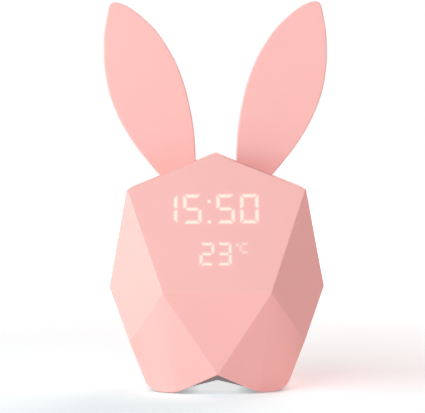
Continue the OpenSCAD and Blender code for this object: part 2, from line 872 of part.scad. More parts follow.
module speaker() {
  color("#6A6D72") on_low_back() {
    difference() {
      translate([0, 0, -low_wall - speaker_rim]) cylinder(h = speaker_rim, d = speaker_diameter);
      translate([0, 0, -low_wall - speaker_rim + 0.6])
        cylinder(h = speaker_rim - 0.6, d1 = magnet, d2 = speaker_diameter - 1.4);
    }
    translate([0, 0, -low_wall - speaker_rim - 2.4]) cylinder(h = 2.4, d = magnet);
  }
}

module speaker_cone() {
  color("#2C2D30") on_low_back() translate([0, 0, -low_wall]) rotate_extrude()
    polygon([[0, -2.2], [magnet / 2 - 0.6, -2.2], [speaker_diameter / 2 - 2.1, -0.9],
      [speaker_diameter / 2 - 2.1, -0.5], [magnet / 2 - 0.8, -1.8], [0, -1.8]]);
}

// ---------- battery and night light ----------

module battery() {
  color("#5C86B8") translate([-battery_length / 2, 0, battery_z]) rotate([0, 90, 0])
    rotate_extrude() polygon([[0, 0], [battery_diameter / 2 - 0.4, 0],
      [battery_diameter / 2, 0.4], [battery_diameter / 2, battery_length - 1.4],
      [battery_diameter / 2 - 0.7, battery_length - 0.7], [3.2, battery_length - 0.7],
      [3.2, battery_length], [0, battery_length]]);
}

cradle_end = battery_length / 2 + 0.2;

module battery_cradle() {
  color("#E4DFD8") difference() {
    union() {
      slab(0, 0, cradle_z, cradle_z + cradle_thick, 2 * cradle_end + 2.8, 14);
      for (sx = [-1, 1], sy = [-1, 1]) {
        slab(sx * cradle_screw_x, sy * (cradle_screw_y - 3), cradle_z, cradle_z + cradle_thick,
          6.4, 12);
        rod_z(sx * light_screw_r * cos(light_screw_a),
          sy * light_screw_r * sin(light_screw_a), cradle_z, light_z, 5.4);
        slab(sx * light_screw_r * cos(light_screw_a),
          sy * (light_screw_r * sin(light_screw_a) - 2.2), cradle_z, cradle_z + cradle_thick,
          5.4, 8);
      }
      for (sx = [-1, 1]) {
        slab(sx * saddle_x, 0, cradle_z, battery_z - 2, 3, battery_diameter + 3.6);
        slab(sx * (cradle_end + 0.7), 0, cradle_z, battery_z + battery_diameter * 0.3,
          1.4, 14);
      }
    }
    translate([-cradle_end, 0, battery_z]) rotate([0, 90, 0])
      cylinder(h = 2 * cradle_end, d = battery_diameter + 0.2);
    for (sx = [-1, 1], sy = [-1, 1]) {
      rod_z(sx * cradle_screw_x, sy * cradle_screw_y, cradle_z - 1, cradle_z + 3, screw_hole);
      rod_z(sx * light_screw_r * cos(light_screw_a), sy * light_screw_r * sin(light_screw_a),
        light_z - 7, light_z + 1, screw_pilot);
    }
  }
}

module battery_strap() {
  strap = 1.2;
  outer = battery_diameter / 2 + strap;
  color("#4A4C50") difference() {
    union() {
      translate([-4, 0, battery_z]) rotate([0, 90, 0]) cylinder(h = 8, r = outer);
      slab(0, 0, cradle_z + cradle_thick, battery_z, 8, 2 * outer);
    }
    translate([-5, 0, battery_z]) rotate([0, 90, 0])
      cylinder(h = 10, d = battery_diameter + 0.2);
    slab(0, 0, cradle_z - 1, battery_z, 10, battery_diameter + 0.2);
  }
}

module cradle_screws() {
  color("#8E9094") for (sx = [-1, 1], sy = [-1, 1])
    translate([sx * cradle_screw_x, sy * cradle_screw_y, cradle_z + cradle_thick])
      one_screw(8);
}

module light_places() {
  for (sx = [-1, 1], sy = [-1, 1])
    translate([sx * light_screw_r * cos(light_screw_a),
      sy * light_screw_r * sin(light_screw_a), light_z]) children();
}

peg_x = dome_diameter / 2 - dome_wall / 2 - 0.4;

module night_light_board() {
  color("#EDEDEA") difference() {
    rod_z(0, 0, light_z, light_z + board, light_board_d);
    light_places() translate([0, 0, -1]) cylinder(h = board + 2, d = screw_hole);
    both_x(peg_x) rod_z(0, 0, light_z - 1, light_z + 3, 1.6);
  }
}

module night_light_leds() {
  color("#F6DFA0") for (a = [30 : 60 : 330]) rotate([0, 0, a]) translate([9, 0, light_z + board]) {
    translate([-1.75, -1.4, 0]) cube([3.5, 2.8, 1.2]);
    translate([0, 0, 1.2]) cylinder(h = 0.4, d = 2.2);
  }
}

module night_light_dome() {
  r = dome_diameter / 2;
  h = dome_height;
  steps = 14;
  z0 = light_z + board;
  color("#F8F3EA") {
    translate([0, 0, z0]) rotate_extrude() polygon(concat(
      [[r + 1.2, 0], [r + 1.2, 1.2], [r, 1.6]],
      [for (i = [1 : steps]) [r * cos(90 * i / steps), 1.6 + (h - 1.6) * sin(90 * i / steps)]],
      [for (i = [steps : -1 : 1]) [(r - dome_wall) * cos(90 * i / steps),
        1.6 + (h - 1.6 - dome_wall) * sin(90 * i / steps)]],
      [[r - dome_wall, 1.6], [r - dome_wall, 0]]));
    both_x(peg_x) rod_z(0, 0, light_z, z0 + 1, 1.5);
  }
}

module night_light_screws() {
  color("#8E9094") light_places() translate([0, 0, board]) one_screw(6);
}

// ---------- leads ----------

function bezier(a, b, c, d, t) = pow(1 - t, 3) * a + 3 * pow(1 - t, 2) * t * b
  + 3 * (1 - t) * t * t * c + t * t * t * d;
// world Y and Z of a point on the front or back stack: up the face, out of it
function on_front_yz(up, out) = [-face_y + up * sin(lean) - out * cos(lean),
  face_z + up * cos(lean) + out * sin(lean)];
function on_back_yz(up, out) = [-on_front_yz(up, out)[0], on_front_yz(up, out)[1]];

// flat lead of thickness th along a bend in Y and Z, at x
module lead(x, wide, th, a, b, c, d) {
  steps = 14;
  p = [for (i = [0 : steps]) bezier(a, b, c, d, i / steps)];
  n = [for (i = [0 : steps]) let (q = bezier(a, b, c, d, min(1, i / steps + 0.01))
    - bezier(a, b, c, d, max(0, i / steps - 0.01))) [-q[1], q[0]] / norm(q)];
  translate([x - wide / 2, 0, 0]) rotate([90, 0, 90]) linear_extrude(height = wide)
    polygon(concat([for (i = [0 : steps]) p[i] + n[i] * th / 2],
      [for (i = [steps : -1 : 0]) p[i] - n[i] * th / 2]));
}

module ribbon_cable() {
  a = on_front_yz(ribbon_row, board_top - board - 2);
  d = on_back_yz(ribbon_row, control_top - board - 2);
  color("#E6E2D2") lead(0, ribbon_wide, 0.3, a, a + 10 * [cos(lean), -sin(lean)],
    d + 10 * [-cos(lean), -sin(lean)], d);
}

socket_out = control_top - board - lead_high / 2;
socket_low = lead_y - 1.9;

module battery_lead() {
  a = on_back_yz(socket_low, socket_out);
  d = [battery_diameter / 2 + 1.4 * 0.5 + 0.1, battery_z + 2];
  color("#B5342C") lead(-lead_x[0], 3, 1.4, a, a + [3, -15],
    [light_board_d / 2 + 1, battery_z + 3], d);
}

module speaker_lead() {
  a = on_back_yz(socket_low, socket_out);
  d = [speaker_y - (low_wall + speaker_rim + 2.4) * cos(low_lean) - 0.35, speaker_z + 1];
  color("#33363A") lead(0, 2.4, 0.8, a, a + [3, -6], d + [-1, 6], d);
}

module light_lead() {
  a = on_back_yz(socket_low, socket_out);
  d = [light_board_d / 2 * 0.86, light_z + board + 0.5];
  color("#D8D2C4") lead(-lead_x[2], 2.4, 1, a, a + [3, -6], d + [6, 0.5], d);
}

front_shell();
rear_shell();
base_cover();
rubber_feet();
shell_screws();
base_screws();
ear_left();
ear_right();
display_film();
display_mask();
display_board();
digit_leds();
display_driver();
display_screws();
control_board();
processor();
lead_sockets();
ribbon_sockets();
control_screws();
usb_socket();
switch_bodies();
plunger_mode();
plunger_up();
plunger_down();
button_mode();
button_up();
button_down();
power_switch();
power_slider();
temperature_sensor();
tap_sensor();
speaker();
speaker_cone();
battery();
battery_cradle();
battery_strap();
cradle_screws();
night_light_board();
night_light_leds();
night_light_dome();
night_light_screws();
ribbon_cable();
battery_lead();
speaker_lead();
light_lead();
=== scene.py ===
"""Faceted bedside clock with ears: shells, ears, lit digits, controls and studio.

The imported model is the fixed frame. Outer pieces are remade here with moulded
edges and finer shapes, inner pieces keep their CAD shape and get a finish.
"""
import json
import math
from functools import partial

import bmesh
import bpy
import numpy as np
from bpy.props import FloatProperty, FloatVectorProperty, PointerProperty, StringProperty
from bpy.types import Operator, Panel, PropertyGroup
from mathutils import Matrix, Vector
from mathutils.geometry import convex_hull_2d


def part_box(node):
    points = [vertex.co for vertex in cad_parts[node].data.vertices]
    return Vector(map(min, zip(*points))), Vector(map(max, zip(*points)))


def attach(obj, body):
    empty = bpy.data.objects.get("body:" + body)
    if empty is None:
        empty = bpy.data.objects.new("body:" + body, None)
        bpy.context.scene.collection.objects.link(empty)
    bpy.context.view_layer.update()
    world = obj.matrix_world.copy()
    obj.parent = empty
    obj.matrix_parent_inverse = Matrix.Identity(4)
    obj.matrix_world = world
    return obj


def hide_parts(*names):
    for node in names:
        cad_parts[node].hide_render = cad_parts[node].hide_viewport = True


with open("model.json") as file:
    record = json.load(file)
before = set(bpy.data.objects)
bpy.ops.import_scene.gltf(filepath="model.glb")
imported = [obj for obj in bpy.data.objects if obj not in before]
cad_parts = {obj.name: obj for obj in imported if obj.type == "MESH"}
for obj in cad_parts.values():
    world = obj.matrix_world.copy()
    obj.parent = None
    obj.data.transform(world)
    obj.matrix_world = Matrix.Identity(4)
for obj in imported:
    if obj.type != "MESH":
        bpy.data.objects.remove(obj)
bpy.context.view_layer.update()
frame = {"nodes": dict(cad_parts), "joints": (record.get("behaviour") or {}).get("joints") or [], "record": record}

bl_info = {
    "name": "Faceted alarm clock",
    "version": (1, 0, 0),
    "blender": (4, 5, 0),
    "location": "3D View > Sidebar > Clock",
    "description": "Builds the outer pieces, finishes and studio of a faceted bedside clock",
    "category": "Object",
}

MM = 0.001
NODES = frame["nodes"]
CASE = "case"
WELD = 2e-6  # metres within which two corners of a CAD node are one
TINY = 1e-7  # metres within which two points of a new piece are one
FLAT_ANGLE = 0.3  # degrees; faces that bend by less are one flat area


# ---------- colours and nodes ----------

def linear(code):
    """Turns an sRGB hex code such as #F9BCB8 into linear red, green and blue."""
    srgb = np.array([int(code[i:i + 2], 16) / 255 for i in (1, 3, 5)])
    return tuple(np.where(srgb <= 0.04045, srgb / 12.92,
                          ((srgb + 0.055) / 1.055) ** 2.4).tolist())


def add_node(tree, kind, links=None, **settings):
    """Adds a shader node, sets its properties and inputs, and links sockets to inputs.

    A setting that is a property of the node is set there, any other is an
    input's value; links maps an input's name or number to a socket.
    """
    node = tree.nodes.new("ShaderNode" + kind)
    for key, value in settings.items():
        if key in node.bl_rna.properties:
            setattr(node, key, value)
        else:
            node.inputs[key].default_value = value
    for key, socket in (links or {}).items():
        tree.links.new(socket, node.inputs[key])
    return node


def empty_tree(owner):
    """The node tree of a material or world, with no nodes in it."""
    owner.use_nodes = True
    owner.node_tree.nodes.clear()
    return owner.node_tree


def shade(colour, factor=1.0):
    """The linear colour made lighter or darker, with an opaque alpha."""
    return tuple(min(1.0, c * factor) for c in colour[:3]) + (1.0,)


def finish(name, colour, grain, depth, rough, tone=0.03, cloud=30.0, pattern=None,
           stretch=(1, 1, 1), **shader):
    """A moulded, plated or coated surface.

    grain is the size in mm of the fine texture, depth its height in microns,
    rough the lowest and highest roughness, tone the share by which the colour
    drifts over patches of cloud mm. pattern is a texture node's kind and its
    settings where the grain is not plain noise, and stretch pulls the grain
    out along an axis. Anything else goes to the shader's own sockets.
    """
    material = bpy.data.materials.new(name)
    add = partial(add_node, empty_tree(material))
    place = add("TexCoord").outputs["Object"]
    drift = add("TexNoise", {"Vector": place}, Scale=1 / (cloud * MM), Detail=3.0, Roughness=0.55)
    pulled = add("Mapping", {"Vector": place}, Scale=stretch)
    kind, settings = pattern or ("TexNoise", {"Detail": 2.0, "Roughness": 0.6})
    fine = add(kind, {"Vector": pulled.outputs["Vector"]}, Scale=1 / (grain * MM), **settings)
    height = fine.outputs["Distance" if kind == "TexVoronoi" else 0]
    # noise seldom leaves 0.3 to 0.7, so that span is stretched to the whole drift
    tint = add("MapRange", {"Value": drift.outputs[0]}, **{"From Min": 0.3, "From Max": 0.7})
    hue = add("Mix", {"Factor": tint.outputs[0]}, data_type="RGBA")
    hue.inputs[6].default_value = shade(colour, 1 - tone)
    hue.inputs[7].default_value = shade(colour, 1 + tone)
    dull = add("MapRange", {"Value": height}, **{"To Min": rough[0], "To Max": rough[1]})
    bump = add("Bump", {"Height": height}, Strength=1.0, Distance=depth * MM * MM)
    body = add("BsdfPrincipled", {"Base Color": hue.outputs[2], "Roughness": dull.outputs[0],
                                  "Normal": bump.outputs[0]}, **shader)
    add("OutputMaterial", {"Surface": body.outputs[0]})
    return material


# ---------- meshes ----------

def node_points(node):
    """The corners of a CAD node at rest, as an array of points in metres."""
    mesh = NODES[node].data
    points = np.zeros(len(mesh.vertices) * 3)
    mesh.vertices.foreach_get("co", points)
    return points.reshape(-1, 3)


class Facet:
    """A flat face of the case, with its own right, up and outward directions.

    A local point (a, b, c) in mm is origin + a * right + b * up + c * outward.
    The origin lies on the face at x = 0 and the given height, and the face is
    found as the furthest plane of the node along the outward direction.
    """

    def __init__(self, node, outward, height):
        outward = np.array(outward) / np.linalg.norm(outward)
        right = np.array([-outward[1] / abs(outward[1]), 0.0, 0.0])
        self.axes = np.array([right, np.cross(outward, right), outward])
        reach = (node_points(node) @ outward).max()
        self.origin = np.array([0.0, (reach - height * MM * outward[2]) / outward[1],
                                height * MM])

    def place(self, local):
        """Local points in mm as points in the clock's frame, in metres."""
        return self.origin + np.asarray(local) * MM @ self.axes

    def span(self, node):
        """The lowest and the highest local place of a CAD node, in mm."""
        local = (node_points(node) - self.origin) @ self.axes.T / MM
        return local.min(axis=0), local.max(axis=0)


def new_piece(name, points, faces, slot, body=CASE, node=None, smooth=0.0):
    """Makes a piece of the clock from points and faces, and joins it to its body.

    Doubled points at poles and seams are merged and the faces turned outwards.
    smooth is the angle in degrees above which an edge stays sharp.
    """
    mesh = bpy.data.meshes.new(name)
    mesh.from_pydata(points, [], faces)
    work = bmesh.new()
    work.from_mesh(mesh)
    bmesh.ops.remove_doubles(work, verts=work.verts, dist=TINY)
    bmesh.ops.dissolve_degenerate(work, edges=work.edges, dist=TINY)
    bmesh.ops.recalc_face_normals(work, faces=work.faces)
    work.to_mesh(mesh)
    work.free()
    if smooth:
        mesh.shade_smooth()
        mesh.set_sharp_from_angle(angle=math.radians(smooth))
    return join_clock(name, mesh, slot, body, node)


def placed(name, data):
    """A new object in the scene, at the origin."""
    thing = bpy.data.objects.new(name, data)
    bpy.context.scene.collection.objects.link(thing)
    return thing


def join_clock(name, mesh, slot, body, node):
    """Makes a mesh a piece of the clock, with its slot's finish and its body."""
    piece = placed(name, mesh)
    mesh.materials.clear()
    mesh.materials.append(finish_of(slot))
    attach(piece, body)
    if node:
        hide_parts(node)
    return piece


def ring_stack(rings, caps=True):
    """Points and faces of a tube through rings, an array of rings by points by 3.

    Face (i, k) joins points k and k + 1 of rings i and i + 1, and the last
    point of a ring meets its first. Caps close the two end rings.
    """
    count, size = rings.shape[:2]
    row, column = np.meshgrid(np.arange(count - 1) * size, np.arange(size), indexing="ij")
    after = (column + 1) % size
    quads = np.stack([row + column, row + after, row + size + after, row + size + column], -1)
    faces = quads.reshape(-1, 4).tolist()
    if caps:
        faces += [list(range(size))[::-1], list(range((count - 1) * size, count * size))]
    return rings.reshape(-1, 3), faces


def turned(profile, sides):
    """Rings of a turned shape: each (radius, height) of the profile swept once round.

    Point k of a ring lies at angle 2 pi k / sides. Local units, axis upwards.
    """
    profile = np.asarray(profile, float)
    angle = np.arange(sides) * 2 * np.pi / sides
    rings = np.zeros((len(profile), sides, 3))
    rings[:, :, 0] = profile[:, :1] * np.cos(angle)
    rings[:, :, 1] = profile[:, :1] * np.sin(angle)
    rings[:, :, 2] = profile[:, 1:]
    return rings


def rounded(corner, radius, start, end, steps=5):
    """Profile points of a quarter round: corner + radius * (cos a, sin a), a in degrees."""
    angle = np.radians(np.linspace(start, end, steps + 1))
    return [(corner[0] + radius * math.cos(a), corner[1] + radius * math.sin(a)) for a in angle]


def chamfered(wide, high, cut_wide, cut_high):
    """Corners of a rectangle of half sizes wide and high whose four corners are cut off."""
    near, far = wide - cut_wide, high - cut_high
    return np.array([(wide, far), (near, high), (-near, high), (-wide, far),
                     (-wide, -far), (-near, -high), (near, -high), (wide, -far)])


ROUND_ANGLE = 40.0  # degrees; the sides of a cylinder bend by less


def softened(node, width, slot, body=CASE, sharp=30.0, segments=2, share=None, shape=None):
    """Remakes a CAD node with its outer edges rounded by width, and stands for it.

    Outward edges that bend by more than sharp degrees are rounded, by width
    times share(edge) where share is given. An edge that bends by more and
    isn't rounded stays crisp. A copy of the node's mesh is merged, its flat
    areas are made whole, and shape then cuts it.
    """
    mesh = NODES[node].data.copy()
    mesh.name = node + "_moulded"
    work = bmesh.new()
    work.from_mesh(mesh)
    bmesh.ops.remove_doubles(work, verts=work.verts, dist=WELD)
    bmesh.ops.dissolve_degenerate(work, edges=work.edges, dist=WELD / 2)
    bmesh.ops.dissolve_limit(work, angle_limit=math.radians(FLAT_ANGLE),
                             verts=work.verts, edges=work.edges)
    if shape:
        shape(work)
    weight = work.edges.layers.float.new("bevel_weight_edge")
    for edge in work.edges:
        bent = len(edge.link_faces) == 2 and edge.calc_face_angle() > math.radians(sharp)
        if bent and edge.is_convex:
            edge[weight] = share(edge) if share else 1.0
        edge.smooth = not bent or edge[weight] > 0
    for face in work.faces:
        face.smooth = True
    work.to_mesh(mesh)
    work.free()
    piece = join_clock(mesh.name, mesh, slot, body, node)
    bevel = piece.modifiers.new("Moulded edges", "BEVEL")
    bevel.width = width
    bevel.segments = segments
    bevel.use_clamp_overlap = False
    bevel.limit_method = "WEIGHT"
    flat = piece.modifiers.new("Flat faces", "WEIGHTED_NORMAL")
    flat.keep_sharp = True


# ---------- settings ----------

class ClockSizes(PropertyGroup):
    """Sizes of the moulded and lit details."""

    def length(name, text, value, least, most):
        return FloatProperty(name=name, description=text, default=value * MM, min=least * MM,
                             max=most * MM, unit="LENGTH", precision=5)

    facet_round: length("Facet edge", "Radius along the edges between facets", 0.45, 0.05, 1.5)
    seam_round: length("Seam edge", "Radius where the front and rear shells meet", 0.12, 0.02, 0.5)
    hole_round: length("Hole edge", "Radius round the holes in the shells", 0.18, 0.02, 0.5)
    ear_round: length("Ear edge", "Radius round the edge of each ear", 0.5, 0.2, 2.0)
    digit_height: length("Hour digits", "Height of the hour and minute digits", 13.5, 8, 18)
    degree_height: length("Degree digits", "Height of the temperature digits", 10.3, 6, 14)
    bar_width: length("Light bar", "Width of a lit bar of the hour digits", 1.5, 0.5, 3)
    glow_step: length("Glow step", "Spacing of the points that carry the glow", 0.25, 0.1, 1)
    del length
    hours: StringProperty(
        name="Time", description="Four digits of the time shown", default="1550", maxlen=4)
    degrees: StringProperty(
        name="Temperature", description="Two digits of the temperature shown",
        default="23", maxlen=2)


class ClockColours(PropertyGroup):
    """Colours of the finishes, lamps and floor that a user would change."""

    def colour(code, name, text):
        return FloatVectorProperty(name=name, description=text, subtype="COLOR", size=3,
                                   min=0, max=1, default=linear(code))

    case: colour("#F6B9B4", "Case", "Pink of the shells, ears and buttons")
    # partly painted shade: the cover is grey, and its grey is made dark to stand in for the shade beneath the
    # clock
    base: colour("#8A8788", "Underside", "Grey of the cover under the case")
    light: colour("#FFF0DA", "Digits", "Colour of the lit digits")
    key: colour("#FEFDFF", "Key light", "Colour of the large soft lamp in front")
    side: colour("#C9FFFD", "Side light", "Colour of the low lamp on the left")
    rim: colour("#FFD9D3", "Rim light", "Colour of the lamp behind on the right")
    front: colour("#F9F5FF", "Front light", "Colour of the weak lamp straight ahead")
    room: colour("#FFC6BF", "Room light", "Colour of the light from all round")
    floor: colour("#E1F4F8", "Floor", "Tint with which the floor shows the lamps' light")
    sweep: colour("#FFEFF0", "Floor glow", "Colour of the lit floor's own light on the clock")
    del colour


class ClockStudio(PropertyGroup):
    """Lamps, room light, floor and camera."""

    def number(name, text, value, least=0.0, most=4.0, unit="NONE"):
        return FloatProperty(name=name, description=text, default=value, min=least, max=most,
                             unit=unit)

    key_power: number("Key power", "Power of the large soft lamp in front",
                      7.84, 0, 200, "POWER")
    side_power: number("Side power", "Power of the low lamp on the left",
                       11.71, 0, 200, "POWER")
    rim_power: number("Rim power", "Power of the lamp behind on the right",
                      10.94, 0, 200, "POWER")
    front_power: number("Front power", "Power of the weak lamp straight ahead",
                        1.73, 0, 200, "POWER")
    lamp_size: number("Lamp size", "Side of each square lamp", 0.9, 0, 3, "LENGTH")
    room: number("Room light", "Strength of the light from all round", 0.174)
    sweep: number("Floor glow", "Strength of the lit floor's own light", 0.337)
    floor_near: number("Floor near", "Brightness of the floor's white beside the clock", 0.33)
    floor_catch: number("Floor shade", "Share of lamp light that the floor shows", 1.0)
    camera_away: number("Camera distance", "Distance of the camera in front of the clock",
                        868.4 * MM, 0.2, 3, "LENGTH")
    camera_height: number("Camera height", "Height of the camera above the floor",
                          117.6 * MM, 0, 1, "LENGTH")
    camera_side: number("Camera offset", "Place of the camera right of the middle",
                        -3.36 * MM, -0.5, 0.5, "LENGTH")
    camera_pitch: number("Camera pitch", "Angle by which the camera looks down",
                         0.0428, -1, 1, "ROTATION")
    lens: number("Lens", "Focal length on a 36 mm wide sensor", 164.9, 20, 400, "CAMERA")
    del number


# ---------- finishes ----------

def pink_abs():
    """ABS, injection moulded in a spark-eroded mould.

    To the eye it is an even, soft satin: the eroded grain spreads the shine
    and only the slow drift of the pigment breaks the flat colour.
    """
    return finish("moulded_pink_abs", scene_colours().case, grain=0.35, depth=6,
                  rough=(0.42, 0.56), tone=0.012, cloud=34, IOR=1.53)


def grey_abs():
    """ABS, injection moulded, coarser grain than the case: dull and even."""
    # painted shade: the dark grey of the underside stands in for the shade beneath the clock
    return finish("moulded_grey_abs", scene_colours().base, grain=0.45, depth=9,
                  rough=(0.5, 0.64), tone=0.02, cloud=26, IOR=1.53)


def foot_rubber():
    """Nitrile rubber, pressed: deep matt grey with a fine speckle of dust and filler."""
    return finish("pressed_nitrile_rubber", linear("#5E5A5C"), grain=0.3, depth=14,
                  rough=(0.72, 0.9), tone=0.06, cloud=4, IOR=1.5)


def screw_steel():
    """Steel, zinc plated: a grey shine, clouded where the plating pooled."""
    return finish("zinc_plated_steel", linear("#A7A9AC"), grain=0.22, depth=3,
                  rough=(0.26, 0.46), tone=0.08, cloud=1.5, Metallic=1.0)


def socket_steel():
    """Steel, stamped and nickel plated: a close, warm shine with drawn lines."""
    return finish("nickel_plated_steel", linear("#C6C1B8"), grain=0.12, depth=2,
                  rough=(0.18, 0.34), tone=0.04, cloud=3, stretch=(1, 0.15, 0.15), Metallic=1.0)


def white_plastic():
    """Nylon, injection moulded: waxy off-white with a little light inside it."""
    return finish("moulded_nylon", linear("#E8E3DB"), grain=0.4, depth=4,
                  rough=(0.4, 0.52), tone=0.02, cloud=8, IOR=1.53, **{
                      "Subsurface Weight": 0.15, "Subsurface Radius": (1.2, 1.0, 0.8),
                      "Subsurface Scale": MM})


def diffuser_plastic():
    """Opal polycarbonate, moulded: milky, so that a lamp behind it has no edge."""
    return finish("opal_polycarbonate", linear("#F7F2EA"), grain=0.5, depth=2,
                  rough=(0.3, 0.4), tone=0.01, cloud=12, IOR=1.58, **{
                      "Subsurface Weight": 0.5, "Subsurface Radius": (2.5, 2.2, 1.8),
                      "Subsurface Scale": MM})


def led_plastic():
    """Silicone with yellow phosphor, poured: a smooth, glossy yellow bead."""
    return finish("phosphor_silicone", linear("#F6E0A0"), grain=0.15, depth=1,
                  rough=(0.12, 0.2), tone=0.05, cloud=0.8, IOR=1.41)


def board_laminate():
    """Glass-epoxy laminate under green solder mask, screen printed.

    The woven glass shows as a faint square weave, the mask as a wet shine.
    """
    return finish("green_masked_laminate", linear("#2F6B4A"), grain=1.1, depth=10,
                  rough=(0.22, 0.34), tone=0.1, cloud=3,
                  pattern=("TexVoronoi", {"distance": "CHEBYCHEV", "Randomness": 0.1}), IOR=1.5)


def white_laminate():
    """Aluminium laminate under white solder mask: flat white with a wet shine."""
    return finish("white_masked_laminate", linear("#EDEDEA"), grain=0.8, depth=4,
                  rough=(0.22, 0.32), tone=0.015, cloud=6, IOR=1.5)


def chip_plastic():
    """Epoxy moulding compound with silica filler: dull black with grey specks."""
    return finish("epoxy_compound", linear("#2B2C2F"), grain=0.12, depth=5,
                  rough=(0.5, 0.7), tone=0.1, cloud=0.6, IOR=1.55)


def dark_plastic():
    """Acetal, injection moulded: near black with a low, greasy sheen."""
    return finish("moulded_acetal", linear("#3A3B3E"), grain=0.3, depth=4,
                  rough=(0.38, 0.5), tone=0.05, cloud=5, IOR=1.48)


def speaker_steel():
    """Steel, pressed and painted dark grey: even coat with a slight orange peel."""
    return finish("painted_steel", linear("#6A6D72"), grain=0.6, depth=8,
                  rough=(0.36, 0.46), tone=0.03, cloud=6, IOR=1.5)


def sensor_brass():
    """Brass, turned: yellow metal with fine rings from the tool."""
    return finish("turned_brass", linear("#C9A65A"), grain=0.12, depth=2,
                  rough=(0.2, 0.36), tone=0.06, cloud=2, stretch=(0.1, 1, 1), Metallic=1.0)


def cell_sleeve():
    """Vinyl sleeve shrunk over the cell: glossy blue that pulls tight and ripples."""
    return finish("shrunk_vinyl_sleeve", linear("#5C86B8"), grain=2.2, depth=30,
                  rough=(0.14, 0.24), tone=0.03, cloud=9, IOR=1.54)


def ribbon_film():
    """Polyester film over flat copper: pale film, ribbed by the conductors."""
    return finish("polyester_ribbon", linear("#E6E2D2"), grain=1.0, depth=60,
                  rough=(0.28, 0.4), tone=0.02, cloud=5,
                  pattern=("TexWave", {"bands_direction": "X"}), IOR=1.57)


def lead_vinyl():
    """Vinyl insulation, drawn: satin red-brown with a slight drag along its length."""
    return finish("drawn_vinyl", linear("#B5453A"), grain=0.5, depth=8,
                  rough=(0.34, 0.5), tone=0.05, cloud=3, stretch=(1, 1, 0.2), IOR=1.53)


FINISHES = {make.__name__: make for make in (
    pink_abs, grey_abs, foot_rubber, screw_steel, socket_steel, white_plastic,
    diffuser_plastic, led_plastic, board_laminate, white_laminate, chip_plastic,
    dark_plastic, speaker_steel, sensor_brass, cell_sleeve, ribbon_film, lead_vinyl)}
made_finishes = {}


def scene_colours():
    """The colours that the user set."""
    return bpy.context.scene.clock_colours


def finish_of(slot):
    """The material of a slot, made the first time it is asked for."""
    if slot not in made_finishes:
        made_finishes[slot] = FINISHES[slot]()
    return made_finishes[slot]


# ---------- faces of the case that carry details ----------

PRESS = np.array(next(j["axis"] for j in frame["joints"] if j["name"] == "mode_press"))
FACE_HEIGHT = 71.2  # height, in mm, of the origins of the front and the back face
FRONT = Facet("front_shell", (0, PRESS[1], -PRESS[2]), FACE_HEIGHT)
BACK = Facet("rear_shell", -PRESS, FACE_HEIGHT)


# ---------- shells ----------

class CLOCK_OT_shells(Operator):
    """Remake both shells with moulded edges, a fine seam and softened holes"""

    bl_idname = "clock.shells"
    bl_label = "Shells"

    # the middle of the case; a facet's plane lies this far from it or more
    middle = Vector((0.0, 0.0, 50 * MM))
    facet_reach = 25 * MM
    foot_height = 5 * MM  # no flat underside lies higher than this on the outside
    least_angle = 11.5  # degrees; what bends less is the round of a foot
    # width of the narrow faces along the edges between facets, and round the holes
    facet_ring = 0.6 * MM
    hole_ring = 0.25 * MM
    # shares of a unit normal that count as all and as none of it, and a back face's least
    whole, nothing, back_least = 0.999, 0.01, 0.5

    def outer(self, face):
        """True for a face on the outside: normal . (centre - middle) is large."""
        centre = face.calc_center_median()
        inner_seat = face.normal.z < -self.whole and centre.z > self.foot_height
        return face.normal.dot(centre - self.middle) > self.facet_reach and not inner_seat

    def shape(self, work):
        """Rounds the feet, and gives the two back faces a ring of narrow faces.

        The ring runs along every edge of the face and of its holes, so that
        the rounding of an edge stays inside it. It is inset by hole_ring, and
        its points along the edges between facets are then moved to facet_ring.
        """
        round_feet(work)
        back = [face for face in work.faces if abs(face.normal.x) < self.nothing
                and self.back_least < face.normal.y < self.whole and self.outer(face)]
        planes = {}
        for face in back:
            place = face.normal.dot(face.verts[0].co)
            planes.setdefault((round(face.normal.z, 1), round(place / MM, 1)), []).append(face)
        for faces in planes.values():
            ring = bmesh.ops.inset_region(work, faces=faces, thickness=self.hole_ring,
                                          use_even_offset=True, use_boundary=True)["faces"]
            work.normal_update()
            inside = {vert for face in faces for vert in face.verts}
            for edge in dict.fromkeys(edge for face in ring for edge in face.edges):
                start, end = sorted(edge.verts, key=inside.__contains__)
                if end in inside and start not in inside and all(map(self.outer, start.link_faces)):
                    end.co = start.co + (end.co - start.co) * self.facet_ring / self.hole_ring
            bmesh.ops.delete(work, geom=faces, context="FACES_KEEP_BOUNDARY")
            rim = [edge for face in ring for edge in face.edges if len(edge.link_faces) == 1]
            bmesh.ops.triangle_fill(work, use_beauty=True, edges=rim, normal=ring[0].normal)

    def share(self, sizes, edge):
        """Share of the facet radius that an edge gets."""
        out = [self.outer(face) for face in edge.link_faces]
        seam = [abs(face.normal.y) > self.whole for face in edge.link_faces]
        if any(seam):
            part = sizes.seam_round if any(out) else 0.0
        elif any(out):
            part = sizes.facet_round if all(out) else sizes.hole_round
        else:
            part = 0.0
        return part / sizes.facet_round

    def execute(self, context):
        sizes = context.scene.clock_sizes
        for node in ("front_shell", "rear_shell"):
            softened(node, sizes.facet_round, "pink_abs", sharp=self.least_angle, segments=3,
                     share=partial(self.share, sizes), shape=self.shape)
        return {"FINISHED"}


# where a foot's bottom turns: place right and up in mm, the angles below level
# of the outward normals on either side, in degrees, and the radius in mm
FOOT_ROUNDS = (((30.35, 0.4), 19.9, 90.0, 8.0), ((18.0, 0.4), 90.0, 116.8, 17.0))
FOOT_CUTS = 6


